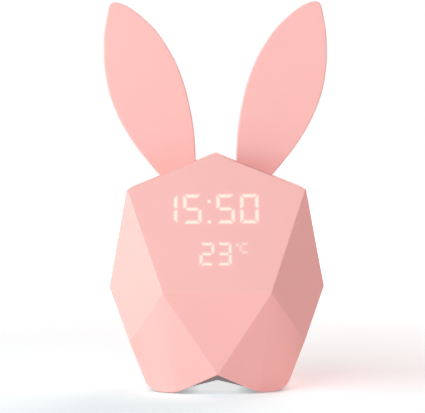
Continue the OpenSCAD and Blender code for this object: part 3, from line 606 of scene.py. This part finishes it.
def round_feet(work, rounds=2):
    """Rounds the ends of the feet by cuts along the clock's depth.

    Each round of radius r lies between two planes with unit normals m and n,
    which the corner point p is on. Its axis is at p - r * (m + n) / (1 + m . n),
    and cut k is the plane at distance r from the axis whose normal lies
    between m and n.
    """
    for side in (1, -1):
        def way(angle):
            return np.array([side * math.cos(angle), 0.0, -math.sin(angle)])

        for corner, first, last, radius in FOOT_ROUNDS[:rounds]:
            m, n = way(math.radians(first)), way(math.radians(last))
            axis = np.array([side * corner[0], 0.0, corner[1]]) * MM \
                - radius * MM * (m + n) / (1 + m @ n)
            for angle in np.radians(np.linspace(first, last, FOOT_CUTS + 2)[1:-1]):
                cut_off(work, axis + radius * MM * way(angle), way(angle),
                        side if last > 90 else 0)


def cut_off(work, place, way, side):
    """Cuts away what lies beyond a plane and closes the mesh there.

    With a side, only faces that lie wholly on that side of the middle are cut.
    """
    verts = [vert for vert in work.verts if side * vert.co.x > -WELD / 2]
    there = set(verts)
    parts = verts + [part for part in (*work.edges, *work.faces)
                     if there.issuperset(part.verts)]
    cut = bmesh.ops.bisect_plane(work, geom=parts, dist=TINY, plane_co=place,
                                 plane_no=way, clear_outer=True)["geom_cut"]
    rim = [part for part in cut if isinstance(part, bmesh.types.BMEdge)
           and len(part.link_faces) == 1]
    if rim:
        bmesh.ops.triangle_fill(work, use_beauty=True, use_dissolve=True, edges=rim,
                                normal=way)
        bmesh.ops.recalc_face_normals(work, faces=work.faces)


# ---------- ears ----------

class CLOCK_OT_ears(Operator):
    """Remake both ears as plates with a rounded edge"""

    bl_idname = "clock.ears"
    bl_label = "Ears"

    def execute(self, context):
        for node in ("ear_left", "ear_right"):
            make_ear(node, context.scene.clock_sizes.ear_round)
        return {"FINISHED"}


def smooth_path(points, count):
    """Points evenly spaced along a curve through the given points.

    Between two points p and q with tangents s and t, the curve is the cubic
    that leaves p along s and meets q along t; tangents are the slopes of the
    points over the length along them.
    """
    length = np.r_[0, np.cumsum(np.linalg.norm(np.diff(points, axis=0), axis=1))]
    slope = np.gradient(points, length, axis=0)
    where = np.linspace(0, length[-1], count)
    i = np.clip(np.searchsorted(length, where, "right") - 1, 0, len(points) - 2)
    step = (length[i + 1] - length[i])[:, None]
    t = (where - length[i])[:, None] / step
    return ((2 * t ** 3 - 3 * t ** 2 + 1) * points[i] + (t ** 3 - 2 * t ** 2 + t) * step * slope[i]
            + (3 * t ** 2 - 2 * t ** 3) * points[i + 1] + (t ** 3 - t ** 2) * step * slope[i + 1])


EAR_THICKNESS = 5.0  # mm
EAR_ROWS, EAR_COLUMNS, EAR_TURN = 130, 6, 5  # up the ear, across it, and round an edge
BESIDE_ROUND = 0.02  # share of the ear's width; a row there keeps the flat faces flat to the eye
HAIR = 0.005 * MM  # keeps the curve between two points of the outline inside it
# half width and half depth of the tenon that stands in the roof and of its flange
TENON = (6.0 * MM, 2.0 * MM)
FLANGE = (8.0 * MM, 4.5 * MM)
FLANGE_TOP = -3.08 * MM
FLANGE_LOW = -5.08 * MM
TENON_TOP = -0.02 * MM  # just under the ear's root
TENON_CUT = (0.04, 0.1)  # what its chamfers take off the half width and half depth, as shares
# height of the roof's peak and of its outer edge, and that edge's distance from the
# middle, in mm
ROOF_PEAK, ROOF_EDGE, ROOF_HALF = 104.4, 88.7, 39
ROOF_ANGLE = math.atan((ROOF_PEAK - ROOF_EDGE) / ROOF_HALF)
ON_ROOF = 0.02 * MM  # a point this near the roof's plane is on it
ABOVE_ROOF = 0.05 * MM  # and one this far out of it belongs to the outline
APART = 0.01 * MM  # points of the outline that are nearer than this are one


def make_ear(node, radius):
    """One ear: a section carried from the root to the tip, and its tenon.

    Row u joins the point u of the inner edge to the point u of the outer
    edge. Round each edge the section follows inset (1 - cos a) * radius along
    the outline's inward normal and depth half - (1 - sin a) * radius, so the
    two sides meet in the tip by themselves.
    """
    cloud = node_points(node)
    side = math.copysign(1.0, cloud[:, 0].mean())
    flat = np.unique(np.round(cloud[:, [0, 2]] * (side, 1), 7), axis=0)
    half = EAR_THICKNESS / 2 * MM
    roof_in, roof_out = roof_line(flat)
    up = roof_up(roof_in, roof_out)
    above = flat[(flat - roof_in) @ up > ABOVE_ROOF]
    above = np.vstack([roof_in, roof_out, above])
    hull = above[convex_hull_2d([tuple(p) for p in above])]
    # start at the outer root and run over the tip to the inner root
    start = int(np.argmin(np.linalg.norm(hull - roof_out, axis=1)))
    hull = np.roll(hull, -start, axis=0)
    gap = np.linalg.norm(np.diff(hull, axis=0), axis=1)
    hull = hull[np.r_[True, gap > APART]]
    path = smooth_path(hull, 2 * EAR_ROWS + 1)
    way = np.gradient(path, axis=0)
    way /= np.linalg.norm(way, axis=1)[:, None]
    inward = np.stack([-way[:, 1], way[:, 0]], -1)
    root = (roof_in - roof_out) / np.linalg.norm(roof_in - roof_out)
    inward[0] = root / abs(inward[0] @ root)
    inward[-1] = -root / abs(inward[-1] @ root)
    path += inward * HAIR
    outer, inner = slice(0, EAR_ROWS + 1), slice(2 * EAR_ROWS, EAR_ROWS - 1, -1)
    turn = np.radians(np.linspace(0, 90, EAR_TURN + 1))
    columns = []

    def edge(part, deep, order):
        for a in order:
            flat_point = path[part] + inward[part] * radius * (1 - math.cos(a))
            columns.append((flat_point, deep * (half - radius * (1 - math.sin(a)))))

    def face(deep, first, last, shares):
        a = path[first] + inward[first] * radius
        b = path[last] + inward[last] * radius
        for share in shares:
            columns.append((a + (b - a) * share, deep * half))

    shares = [BESIDE_ROUND, *np.linspace(0.1, 0.9, EAR_COLUMNS), 1 - BESIDE_ROUND]
    edge(outer, -1, turn)
    face(-1, outer, inner, shares)
    edge(inner, -1, turn[::-1])
    edge(inner, 1, turn)
    face(1, inner, outer, shares)
    edge(outer, 1, turn[::-1])
    rings = np.zeros((EAR_ROWS + 1, len(columns), 3))
    for k, (flat_point, deep) in enumerate(columns):
        rings[:, k, 0] = flat_point[:, 0] * side
        rings[:, k, 1] = deep
        rings[:, k, 2] = flat_point[:, 1]
    points, faces = ring_stack(rings, caps=False)
    faces.append(list(range(len(columns))))
    # tenon and flange, as a stack of chamfered rectangles down into the case
    middle = (roof_in + roof_out) / 2
    low = min((cloud[:, [0, 2]] * (side, 1) - middle) @ up)
    corner = chamfered(1, 1, *TENON_CUT)
    stack = [(TENON_TOP, *TENON), (FLANGE_TOP, *TENON), (FLANGE_TOP, *FLANGE),
             (FLANGE_LOW, *FLANGE), (FLANGE_LOW, *TENON), (low, *TENON)]
    tenon = np.zeros((len(stack), len(corner), 3))
    for k, (deep, wide, thick) in enumerate(stack):
        spot = middle + up * deep + corner[:, :1] * wide * -root
        tenon[k, :, 0] = spot[:, 0] * side
        tenon[k, :, 1] = corner[:, 1] * thick
        tenon[k, :, 2] = spot[:, 1]
    more, more_faces = ring_stack(tenon)
    faces += [[i + len(points) for i in corners] for corners in more_faces]
    return new_piece(node + "_plate", np.vstack([points, more]), faces, "pink_abs",
                     CASE, node, smooth=30)


def roof_up(roof_in, roof_out):
    """Unit direction out of the roof, in x and z."""
    along = (roof_out - roof_in) / np.linalg.norm(roof_out - roof_in)
    return np.array([-along[1], along[0]])


def roof_line(flat):
    """The inner and outer root of an ear: the first and last of its points on the
    plane that slopes down from the roof's peak by the roof's angle."""
    roof = np.array([math.cos(ROOF_ANGLE), -math.sin(ROOF_ANGLE)])
    up = np.array([math.sin(ROOF_ANGLE), math.cos(ROOF_ANGLE)])
    peak = np.array([0.0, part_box("front_shell")[1].z])
    on_roof = flat[np.abs((flat - peak) @ up) < ON_ROOF]
    along = (on_roof - peak) @ roof
    return on_roof[np.argmin(along)], on_roof[np.argmax(along)]


# ---------- lit digits ----------

# bars lit in each digit: top, middle, bottom, upper left, upper right, lower left, lower right
DIGIT_BARS = {"0": "1011111", "1": "0000101", "2": "1110110", "3": "1110101",
              "4": "0101101", "5": "1111001", "6": "1111011", "7": "1000101",
              "8": "1111111", "9": "1111101", " ": "0000000"}


class CLOCK_OT_digits(Operator):
    """Make the thin front skin that the digits shine through"""

    bl_idname = "clock.digits"
    bl_label = "Lit digits"

    # places of the digits' middles in mm on the front face, right and up from its origin
    hour_places = (-20.9, -10.45, 3.95, 14.25)
    hour_row = 10.05
    degree_places = (-4.25, 3.15)
    degree_row = -10.6
    wide_share = 0.59      # width of a digit as a share of its height
    small_wide_share = 0.61
    gap = 0.4              # gap between neighbouring bars
    # how much is missing of a flat bar's ends, and of an upright bar's inner and outer end
    blunt = (0.55, 0.45, 0.2)
    small_bar = 0.8        # width of the small digits' bars as a share of the hour digits'
    colon = (-3.15, 3.5, -6.0)  # place across, and of its dots above and below the row
    colon_side = 1.25
    sign_place = (11.5, 2.65)   # C, across and above the degree row
    sign_size = (3.4, 4.9, 1.05)  # width and height of the C, and width of its bars
    sign_gap = 0.1         # gap between the C's bars as a share of their width
    ring_place = (8.8, 4.1)     # degree sign, across and above the degree row
    ring_radius = 0.7
    sign_level = 0.6       # light of the two signs as a share of the digits'
    soft = 0.45            # half width of the soft edge that the wall gives a bar
    halo = (0.06, 0.9)     # light of the weak halo at a bar, and how far it takes to fade
    skin = (-25.9, 21.0, -18.5, 19.5)  # its left, right, lower and upper edge
    proud, sunk = 0.03, 0.05    # how far the skin stands out of the face and lies in it

    def digit(self, lit, x, y, wide, high, bar):
        """Lit bars of a digit as half-planes: each bar is the set where
        a * x + b * y <= c for all its rows (a, b, c)."""
        gap = self.gap
        w, h = wide / 2, high / 2
        end = math.sqrt(0.5)
        bars = []
        for mark, (kind, sx, sy) in zip(lit, (
                ("flat", 0, 1), ("middle", 0, 0), ("flat", 0, -1), ("side", -1, 1),
                ("side", 1, 1), ("side", -1, -1), ("side", 1, -1))):
            if mark != "1":
                continue
            if kind == "flat":  # a trapezium, its long side outwards
                rows = [(0, sy, h), (0, -sy, bar - h)]
                rows += [(s * end, -sy * end, end * (w - gap - h)) for s in (-1, 1)]
                rows += [(s, 0, w - gap - self.blunt[0]) for s in (-1, 1)]
            elif kind == "middle":  # a long hexagon
                rows = [(0, s, bar / 2) for s in (-1, 1)]
                rows += [(s * end, t * end, end * (w - gap)) for s in (-1, 1) for t in (-1, 1)]
                rows = [(a, b, c - (end * bar / 2 if a else 0)) for a, b, c in rows]
            else:
                rows = [(sx, 0, w), (-sx, 0, bar - w),
                        (-sx * end, sy * end, end * (h - gap - w)),
                        (-sx * end, -sy * end, end * (-gap - w + bar / 2)),
                        (0, sy, h - gap - self.blunt[2]), (0, -sy, -self.blunt[1])]
            bars.append([(a, b, c + a * x + b * y) for a, b, c in rows])
        return bars

    def block(self, x, y, wide, high):
        """A rectangle as half-planes."""
        return [(1, 0, x + wide / 2), (-1, 0, wide / 2 - x),
                (0, 1, y + high / 2), (0, -1, high / 2 - y)]

    def level(self, bars, x, y):
        """Light at points of the skin, 0 to 1.

        The distance to a bar is the largest of a * x + b * y - c; light falls
        from 1 to 0 over the soft edge, half of it inside the bar, and a weak
        halo dies away beyond it as exp(-distance / fade).
        """
        weak, fade = self.halo
        light = np.zeros_like(x)
        for rows in bars:
            away = np.max([a * x + b * y - c for a, b, c in rows], axis=0)
            core = np.clip(0.5 - away / (2 * self.soft), 0, 1)
            core = core * core * (3 - 2 * core)
            light = np.maximum(light, core)
            light = np.maximum(light, weak * np.exp(-np.clip(away, 0, None) / fade))
        return light

    def execute(self, context):
        sizes = context.scene.clock_sizes
        high, small = sizes.digit_height / MM, sizes.degree_height / MM
        bar, small_bar = sizes.bar_width / MM, self.small_bar * sizes.bar_width / MM
        strong, faint = [], []
        for shown, x in zip(sizes.hours, self.hour_places):
            strong += self.digit(DIGIT_BARS[shown], x, self.hour_row,
                                 self.wide_share * high, high, bar)
        for shown, x in zip(sizes.degrees, self.degree_places):
            strong += self.digit(DIGIT_BARS[shown], x, self.degree_row,
                                 self.small_wide_share * small, small, small_bar)
        for up in self.colon[1:]:
            strong.append(self.block(self.colon[0], self.hour_row + up,
                                     self.colon_side, self.colon_side))
        x, y = self.sign_place[0], self.degree_row + self.sign_place[1]
        wide, tall, thick = self.sign_size
        faint += [self.block(x + thick / 2, y + s * (tall - thick) / 2, wide - thick, thick)
                  for s in (-1, 1)]
        faint.append(self.block(x - (wide - thick) / 2, y, thick,
                                tall - 2 * (1 + self.sign_gap) * thick))

        left, right, low, top = self.skin
        step = sizes.glow_step / MM
        across = np.linspace(left, right, round((right - left) / step) + 1)
        upward = np.linspace(low, top, round((top - low) / step) + 1)
        x, y = np.meshgrid(across, upward)
        light = np.maximum(self.level(strong, x, y),
                           self.sign_level * self.level(faint, x, y))
        ring = np.hypot(x - self.ring_place[0], y - self.degree_row - self.ring_place[1])
        light = np.maximum(light, self.sign_level * np.clip(
            0.5 - (ring - self.ring_radius) / (2 * self.soft), 0, 1))
        top_side = np.stack([x, y, np.full_like(x, self.proud)], -1)
        under = np.stack([x[:, [-1, 0]], y[:, [-1, 0]], np.full((len(y), 2), -self.sunk)], -1)
        points, faces = ring_stack(np.concatenate([top_side, under], axis=1))
        piece = new_piece("digit_skin", FRONT.place(points), faces, "pink_abs", smooth=40)
        level = np.concatenate([light, np.zeros((len(y), 2))], axis=1).ravel()
        carry = piece.data.attributes.new("glow", "FLOAT", "POINT")
        if len(carry.data) != len(level):
            raise RuntimeError("the skin's points were merged, so its light would slip")
        carry.data.foreach_set("value", level)
        piece.data.materials[0] = lit_abs(context.scene.clock_colours)
        return {"FINISHED"}


# shares of the digits' red, green and blue light that the front wall lets through
LET_THROUGH = (0.30, 0.42, 0.42)


def lit_abs(colours):
    """The case's ABS where it is thin enough for the digits' light to come through.

    The same satin grain as the case, so nothing shows when it is dark; lit
    bars turn creamy because the pigment scatters the lamps' light.
    """
    material = finish_of("pink_abs").copy()
    material.name = "moulded_pink_abs_lit"
    tree = material.node_tree
    body = next(n for n in tree.nodes if n.type == "BSDF_PRINCIPLED")
    level = add_node(tree, "Attribute", attribute_name="glow")
    ramp = add_node(tree, "ValToRGB", {"Fac": level.outputs["Fac"]})
    ramp.color_ramp.elements[0].color = (0, 0, 0, 1)
    ramp.color_ramp.elements[1].color = (*[part * c for part, c in zip(LET_THROUGH, colours.light)], 1)
    tree.links.new(ramp.outputs[0], body.inputs["Emission Color"])
    body.inputs["Emission Strength"].default_value = 1.0
    return material


# ---------- underside ----------

class CLOCK_OT_base(Operator):
    """Remake the grey cover, the rubber pads and the screws that show"""

    bl_idname = "clock.base"
    bl_label = "Underside"

    cover_round, pad_round, screw_round = 0.25 * MM, 0.25 * MM, 0.12 * MM

    def execute(self, context):
        softened("base_cover", self.cover_round, "grey_abs",
                 shape=partial(round_feet, rounds=1))
        softened("rubber_feet", self.pad_round, "foot_rubber", sharp=ROUND_ANGLE)
        for node in ("base_screws", "shell_screws"):
            softened(node, self.screw_round, "screw_steel", sharp=ROUND_ANGLE)
        return {"FINISHED"}


# ---------- controls at the back ----------

class CLOCK_OT_controls(Operator):
    """Remake the push buttons, the power slider and the charging socket"""

    bl_idname = "clock.controls"
    bl_label = "Controls"

    # push button: radii, and heights in mm from the back face outwards
    sides = 64
    cap_radius, cap_round = 3.5, 0.45
    dish_depth, dish_steps = 0.32, 9
    flange_radius, flange_low, flange_high = 4.8, -3.4, -2.4
    stem_radius = 2.2
    slider_round = 0.1 * MM
    # socket: wall of the shell, depth of its mouth, and points round an end and over the lip
    shell_wall, mouth_depth, end_points, lip_points = 0.3, 6.2, 17, 7
    # its tongue's half width and half height, how far it starts below the mouth's floor,
    # and how deep its tip lies
    tongue, tongue_root, tongue_tip = (3.3, 0.33), 0.1, 0.8
    # contacts: number on each side, half sizes, how deep they begin and end, how far proud
    pads, pad, pad_low, pad_high, pad_proud = 8, (0.16, 0.06), 4.5, 1.1, 0.02
    # chamfer of a block as a share of its smaller half size, and its tip's width as a
    # share of its own
    block_cut, block_tip = 0.3, 0.8

    def button(self, name):
        """A turned cap whose top is dished.

        At radius r its height is rim - depth * (1 - (r / rim radius)^2)^1.5.
        """
        low, high = BACK.span("button_" + name)
        rim = self.cap_radius - self.cap_round
        radii = np.linspace(rim, 0, self.dish_steps)[1:]
        profile = [(0, low[2]), (self.stem_radius, low[2]), (self.stem_radius, self.flange_low),
                   (self.flange_radius, self.flange_low), (self.flange_radius, self.flange_high),
                   (self.cap_radius, self.flange_high),
                   *rounded((rim, high[2] - self.cap_round), self.cap_round, 0, 90),
                   *[(r, high[2] - self.dish_depth * (1 - (r / rim) ** 2) ** 1.5)
                     for r in radii]]
        rings = turned(profile, self.sides)
        rings[:, :, :2] += (low[:2] + high[:2]) / 2
        points, faces = ring_stack(rings, caps=False)
        new_piece("button_" + name + "_dished", BACK.place(points), faces, "pink_abs",
                  name + "_key", "button_" + name, smooth=35)

    def socket(self):
        """A drawn shell with round ends, open at the mouth, and a tongue with contacts.

        Each ring is the outline of two half circles joined by straight lines,
        drawn in by an inset that follows the rim's rounding into the mouth.
        """
        low, high = BACK.span("usb_socket")
        middle = (low[:2] + high[:2]) / 2
        half = (high[:2] - low[:2]) / 2
        count = self.end_points
        angle = np.radians(np.r_[np.linspace(-90, 90, count), np.linspace(90, 270, count)])
        side = np.repeat([1, -1], count) * (half[0] - half[1])
        wall, top = self.shell_wall, high[2]
        bend = np.radians(np.linspace(0, 180, self.lip_points))
        insets = [(0, low[2]), *[(wall / 2 * (1 - math.cos(a)),
                                  top - wall / 2 * (1 - math.sin(a))) for a in bend],
                  (wall, top - self.mouth_depth)]
        rings = np.zeros((len(insets), 2 * count, 3))
        for k, (inset, height) in enumerate(insets):
            rings[k, :, 0] = middle[0] + side + (half[1] - inset) * np.cos(angle)
            rings[k, :, 1] = middle[1] + (half[1] - inset) * np.sin(angle)
            rings[k, :, 2] = height
        points, faces = ring_stack(rings)
        new_piece("usb_shell", BACK.place(points), faces, "socket_steel", CASE,
                  "usb_socket", smooth=40)
        wide, thick = self.tongue
        self.blocks("usb_tongue", [(*middle, wide, thick)],
                    (top - self.mouth_depth - self.tongue_root, top - self.tongue_tip),
                    "dark_plastic")
        across = np.linspace(-wide, wide, self.pads + 2)[1:-1] + middle[0]
        self.blocks("usb_contacts", [(x, middle[1] + s * (thick + self.pad_proud), *self.pad)
                                     for x in across for s in (-1, 1)],
                    (top - self.pad_low, top - self.pad_high), "sensor_brass")

    def blocks(self, name, places, heights, slot):
        """Chamfered blocks between two heights, each given as middle and half sizes."""
        points, faces = [], []
        for x, y, wide, high in places:
            edge = min(wide, high) * self.block_cut
            corner = chamfered(wide, high, edge, edge)
            tip = np.array([1, 1, self.block_tip])[:, None, None]
            rings = np.zeros((3, len(corner), 3))
            rings[:, :, :2] = corner * tip + (x, y)
            rings[:, :, 2] = np.array([heights[0], heights[1] - edge, heights[1]])[:, None]
            more, more_faces = ring_stack(rings)
            faces += [[i + len(more) * len(points) for i in face] for face in more_faces]
            points.append(more)
        new_piece(name, BACK.place(np.vstack(points)), faces, slot, CASE, "usb_socket")

    def execute(self, context):
        for name in ("mode", "up", "down"):
            self.button(name)
        softened("power_slider", self.slider_round, "dark_plastic", "power_knob",
                 sharp=ROUND_ANGLE)
        self.socket()
        return {"FINISHED"}


# ---------- finishes on the CAD's own nodes ----------

class CLOCK_OT_insides(Operator):
    """Give every CAD node the procedural finish of its slot"""

    bl_idname = "clock.insides"
    bl_label = "Inner finishes"

    def execute(self, context):
        for part in frame["record"]["subparts"]:
            piece = NODES[part["node"]]
            piece.data.materials.clear()
            piece.data.materials.append(finish_of(part["material_slot"]))
        return {"FINISHED"}


# ---------- studio ----------

class CLOCK_OT_stage(Operator):
    """Set up the floor, the lamps, the room light and the camera"""

    bl_idname = "clock.stage"
    bl_label = "Studio"

    floor_half = 6.0
    clock_middle = (0.0, 0.0, 0.05)
    lamp_away = 1.3
    # each lamp's direction from the clock: degrees round from the front and up
    lamps = {"key": (-27.3, 33.8), "side": (-70, 12), "rim": (150, 40), "front": (10, 5)}
    white_from, white_to = 0.22, 0.75  # metres from the clock where the floor turns white
    # painted light: extra white on the floor under the clock, seen through the arch, fading out between these two
    # distances from the middle
    shine, shine_from, shine_to = 0.36, 14 * MM, 36 * MM
    # painted shade: near the feet the floor's own white is darkened by ambient occlusion, a drawn contact shadow
    painted_shade_reach = 4 * MM  # how far from the feet the floor is darkened
    painted_shade_least = 0.4  # the floor's share of white right under an edge
    painted_shade_rays = 8
    paint = 0.8  # share of light that the floor gives back to the clock
    camera_roll = 0.006
    camera_yaw = -0.0022

    def seen_directly(self, tree):
        """A socket that is 1 for camera, glossy and transmission rays, and 0 for others."""
        path = add_node(tree, "LightPath").outputs
        mirrored = add_node(tree, "Math", {0: path["Is Glossy Ray"], 1: path["Is Transmission Ray"]},
                            operation="MAXIMUM")
        return add_node(tree, "Math", {0: path["Is Camera Ray"], 1: mirrored.outputs[0]},
                        operation="MAXIMUM").outputs[0]

    def world(self, context):
        """Even, weak room light; seen directly it is plain white."""
        world = bpy.data.worlds.new("studio")
        context.scene.world = world
        tree = empty_tree(world)
        room = add_node(tree, "Background", Color=shade(context.scene.clock_colours.room),
                        Strength=context.scene.clock_studio.room)
        backdrop = add_node(tree, "Background", Color=(1, 1, 1, 1), Strength=1.0)
        mix = add_node(tree, "MixShader", {0: self.seen_directly(tree), 1: room.outputs[0],
                                           2: backdrop.outputs[0]})
        add_node(tree, "OutputWorld", {"Surface": mix.outputs[0]})

    def floor(self, context):
        """A painted floor that shows as white and keeps the clock's soft shadows.

        Seen directly, its own white grows from the near value beside the clock
        to 1 further off, with a painted patch of light under the arch and a
        painted dark line of shade where the feet stand, and the lamps' light
        comes on top. To the clock it is a pale floor that also gives back the
        glow of the lit sweep.
        """
        half = self.floor_half
        mesh = bpy.data.meshes.new("floor")
        mesh.from_pydata([(-half, -half, 0), (half, -half, 0), (half, half, 0),
                          (-half, half, 0)], [], [(0, 1, 2, 3)])
        floor = placed("floor", mesh)
        material = bpy.data.materials.new("painted_floor")
        tree = empty_tree(material)
        add = partial(add_node, tree)
        studio, colours = context.scene.clock_studio, context.scene.clock_colours
        place = add("TexCoord").outputs["Object"]
        away = add("VectorMath", {0: place}, operation="LENGTH").outputs["Value"]
        white = add("MapRange", {"Value": away}, interpolation_type="SMOOTHSTEP",
                    **{"From Min": self.white_from, "From Max": self.white_to,
                       "To Min": studio.floor_near, "To Max": 1.0})
        # painted shade: ambient occlusion darkens the floor's own white where the feet stand
        painted_contact_shade = add("AmbientOcclusion", samples=self.painted_shade_rays, Distance=self.painted_shade_reach)
        open_share = add("MapRange", {"Value": painted_contact_shade.outputs["AO"]},
                         **{"To Min": self.painted_shade_least, "To Max": 1.0})
        # painted light: extra white added to the floor's own white under the clock's middle
        shine = add("MapRange", {"Value": away},
                    **{"From Min": self.shine_from, "From Max": self.shine_to,
                       "To Min": self.shine, "To Max": 0.0})
        white_and_painted_light = add("Math", {0: white.outputs[0], 1: shine.outputs[0]})
        strength = add("Math", {0: white_and_painted_light.outputs[0], 1: open_share.outputs[0]},
                       operation="MULTIPLY")
        lift = add("Emission", {"Strength": strength.outputs[0]}, Color=(1, 1, 1, 1))
        catch = add("BsdfDiffuse", Color=shade(colours.floor, studio.floor_catch))
        seen = add("AddShader", {0: catch.outputs[0], 1: lift.outputs[0]})
        glow = add("Emission", Color=shade(colours.sweep), Strength=studio.sweep)
        paint = add("BsdfDiffuse", Color=(self.paint, self.paint, self.paint, 1))
        bounce = add("AddShader", {0: paint.outputs[0], 1: glow.outputs[0]})
        mix = add("MixShader", {0: self.seen_directly(tree), 1: bounce.outputs[0],
                                2: seen.outputs[0]})
        add("OutputMaterial", {"Surface": mix.outputs[0]})
        mesh.materials.append(material)

    def lamp(self, context, name, round_, up):
        """A square soft lamp that faces the clock from the given direction."""
        studio = context.scene.clock_studio
        data = bpy.data.lights.new(name, "AREA")
        data.shape = "SQUARE"
        data.size = studio.lamp_size
        data.energy = getattr(studio, name + "_power")
        data.color = getattr(context.scene.clock_colours, name)
        lamp = placed(name, data)
        round_, up = math.radians(round_), math.radians(up)
        way = Vector((math.sin(round_) * math.cos(up), -math.cos(round_) * math.cos(up),
                      math.sin(up)))
        lamp.location = Vector(self.clock_middle) + self.lamp_away * way
        lamp.rotation_euler = (-way).to_track_quat("-Z", "Y").to_euler()

    def execute(self, context):
        studio = context.scene.clock_studio
        self.world(context)
        self.floor(context)
        for name, (round_, up) in self.lamps.items():
            self.lamp(context, name, round_, up)
        data = bpy.data.cameras.new("camera")
        data.lens = studio.lens
        data.sensor_width = 36.0
        data.clip_start, data.clip_end = 0.05, 20.0
        camera = placed("camera", data)
        camera.location = (studio.camera_side, -studio.camera_away, studio.camera_height)
        camera.rotation_euler = (math.pi / 2 - studio.camera_pitch, self.camera_roll,
                                 self.camera_yaw)
        context.scene.camera = camera
        context.scene.view_settings.view_transform = "Standard"
        return {"FINISHED"}


# ---------- panel and registration ----------

OPERATORS = (CLOCK_OT_insides, CLOCK_OT_shells, CLOCK_OT_ears, CLOCK_OT_digits,
             CLOCK_OT_base, CLOCK_OT_controls, CLOCK_OT_stage)
GROUPS = {"clock_sizes": ClockSizes, "clock_colours": ClockColours,
          "clock_studio": ClockStudio}


class CLOCK_PT_build(Panel):
    """The clock's pieces and settings in the sidebar"""

    bl_idname = "CLOCK_PT_build"
    bl_label = "Alarm clock"
    bl_space_type = "VIEW_3D"
    bl_region_type = "UI"
    bl_category = "Clock"

    def draw(self, context):
        for operator in OPERATORS:
            self.layout.operator(operator.bl_idname)
        for name, group in GROUPS.items():
            box = self.layout.box()
            for key in group.__annotations__:
                box.prop(getattr(context.scene, name), key)


def register():
    for item in (*GROUPS.values(), *OPERATORS, CLOCK_PT_build):
        bpy.utils.register_class(item)
    for name, group in GROUPS.items():
        setattr(bpy.types.Scene, name, PointerProperty(type=group))


def unregister():
    for name in GROUPS:
        delattr(bpy.types.Scene, name)
    for item in reversed((*GROUPS.values(), *OPERATORS, CLOCK_PT_build)):
        bpy.utils.unregister_class(item)


def main():
    register()
    for operator in OPERATORS:
        group, name = operator.bl_idname.split(".")
        getattr(getattr(bpy.ops, group), name)()


if __name__ == "__main__":
    main()
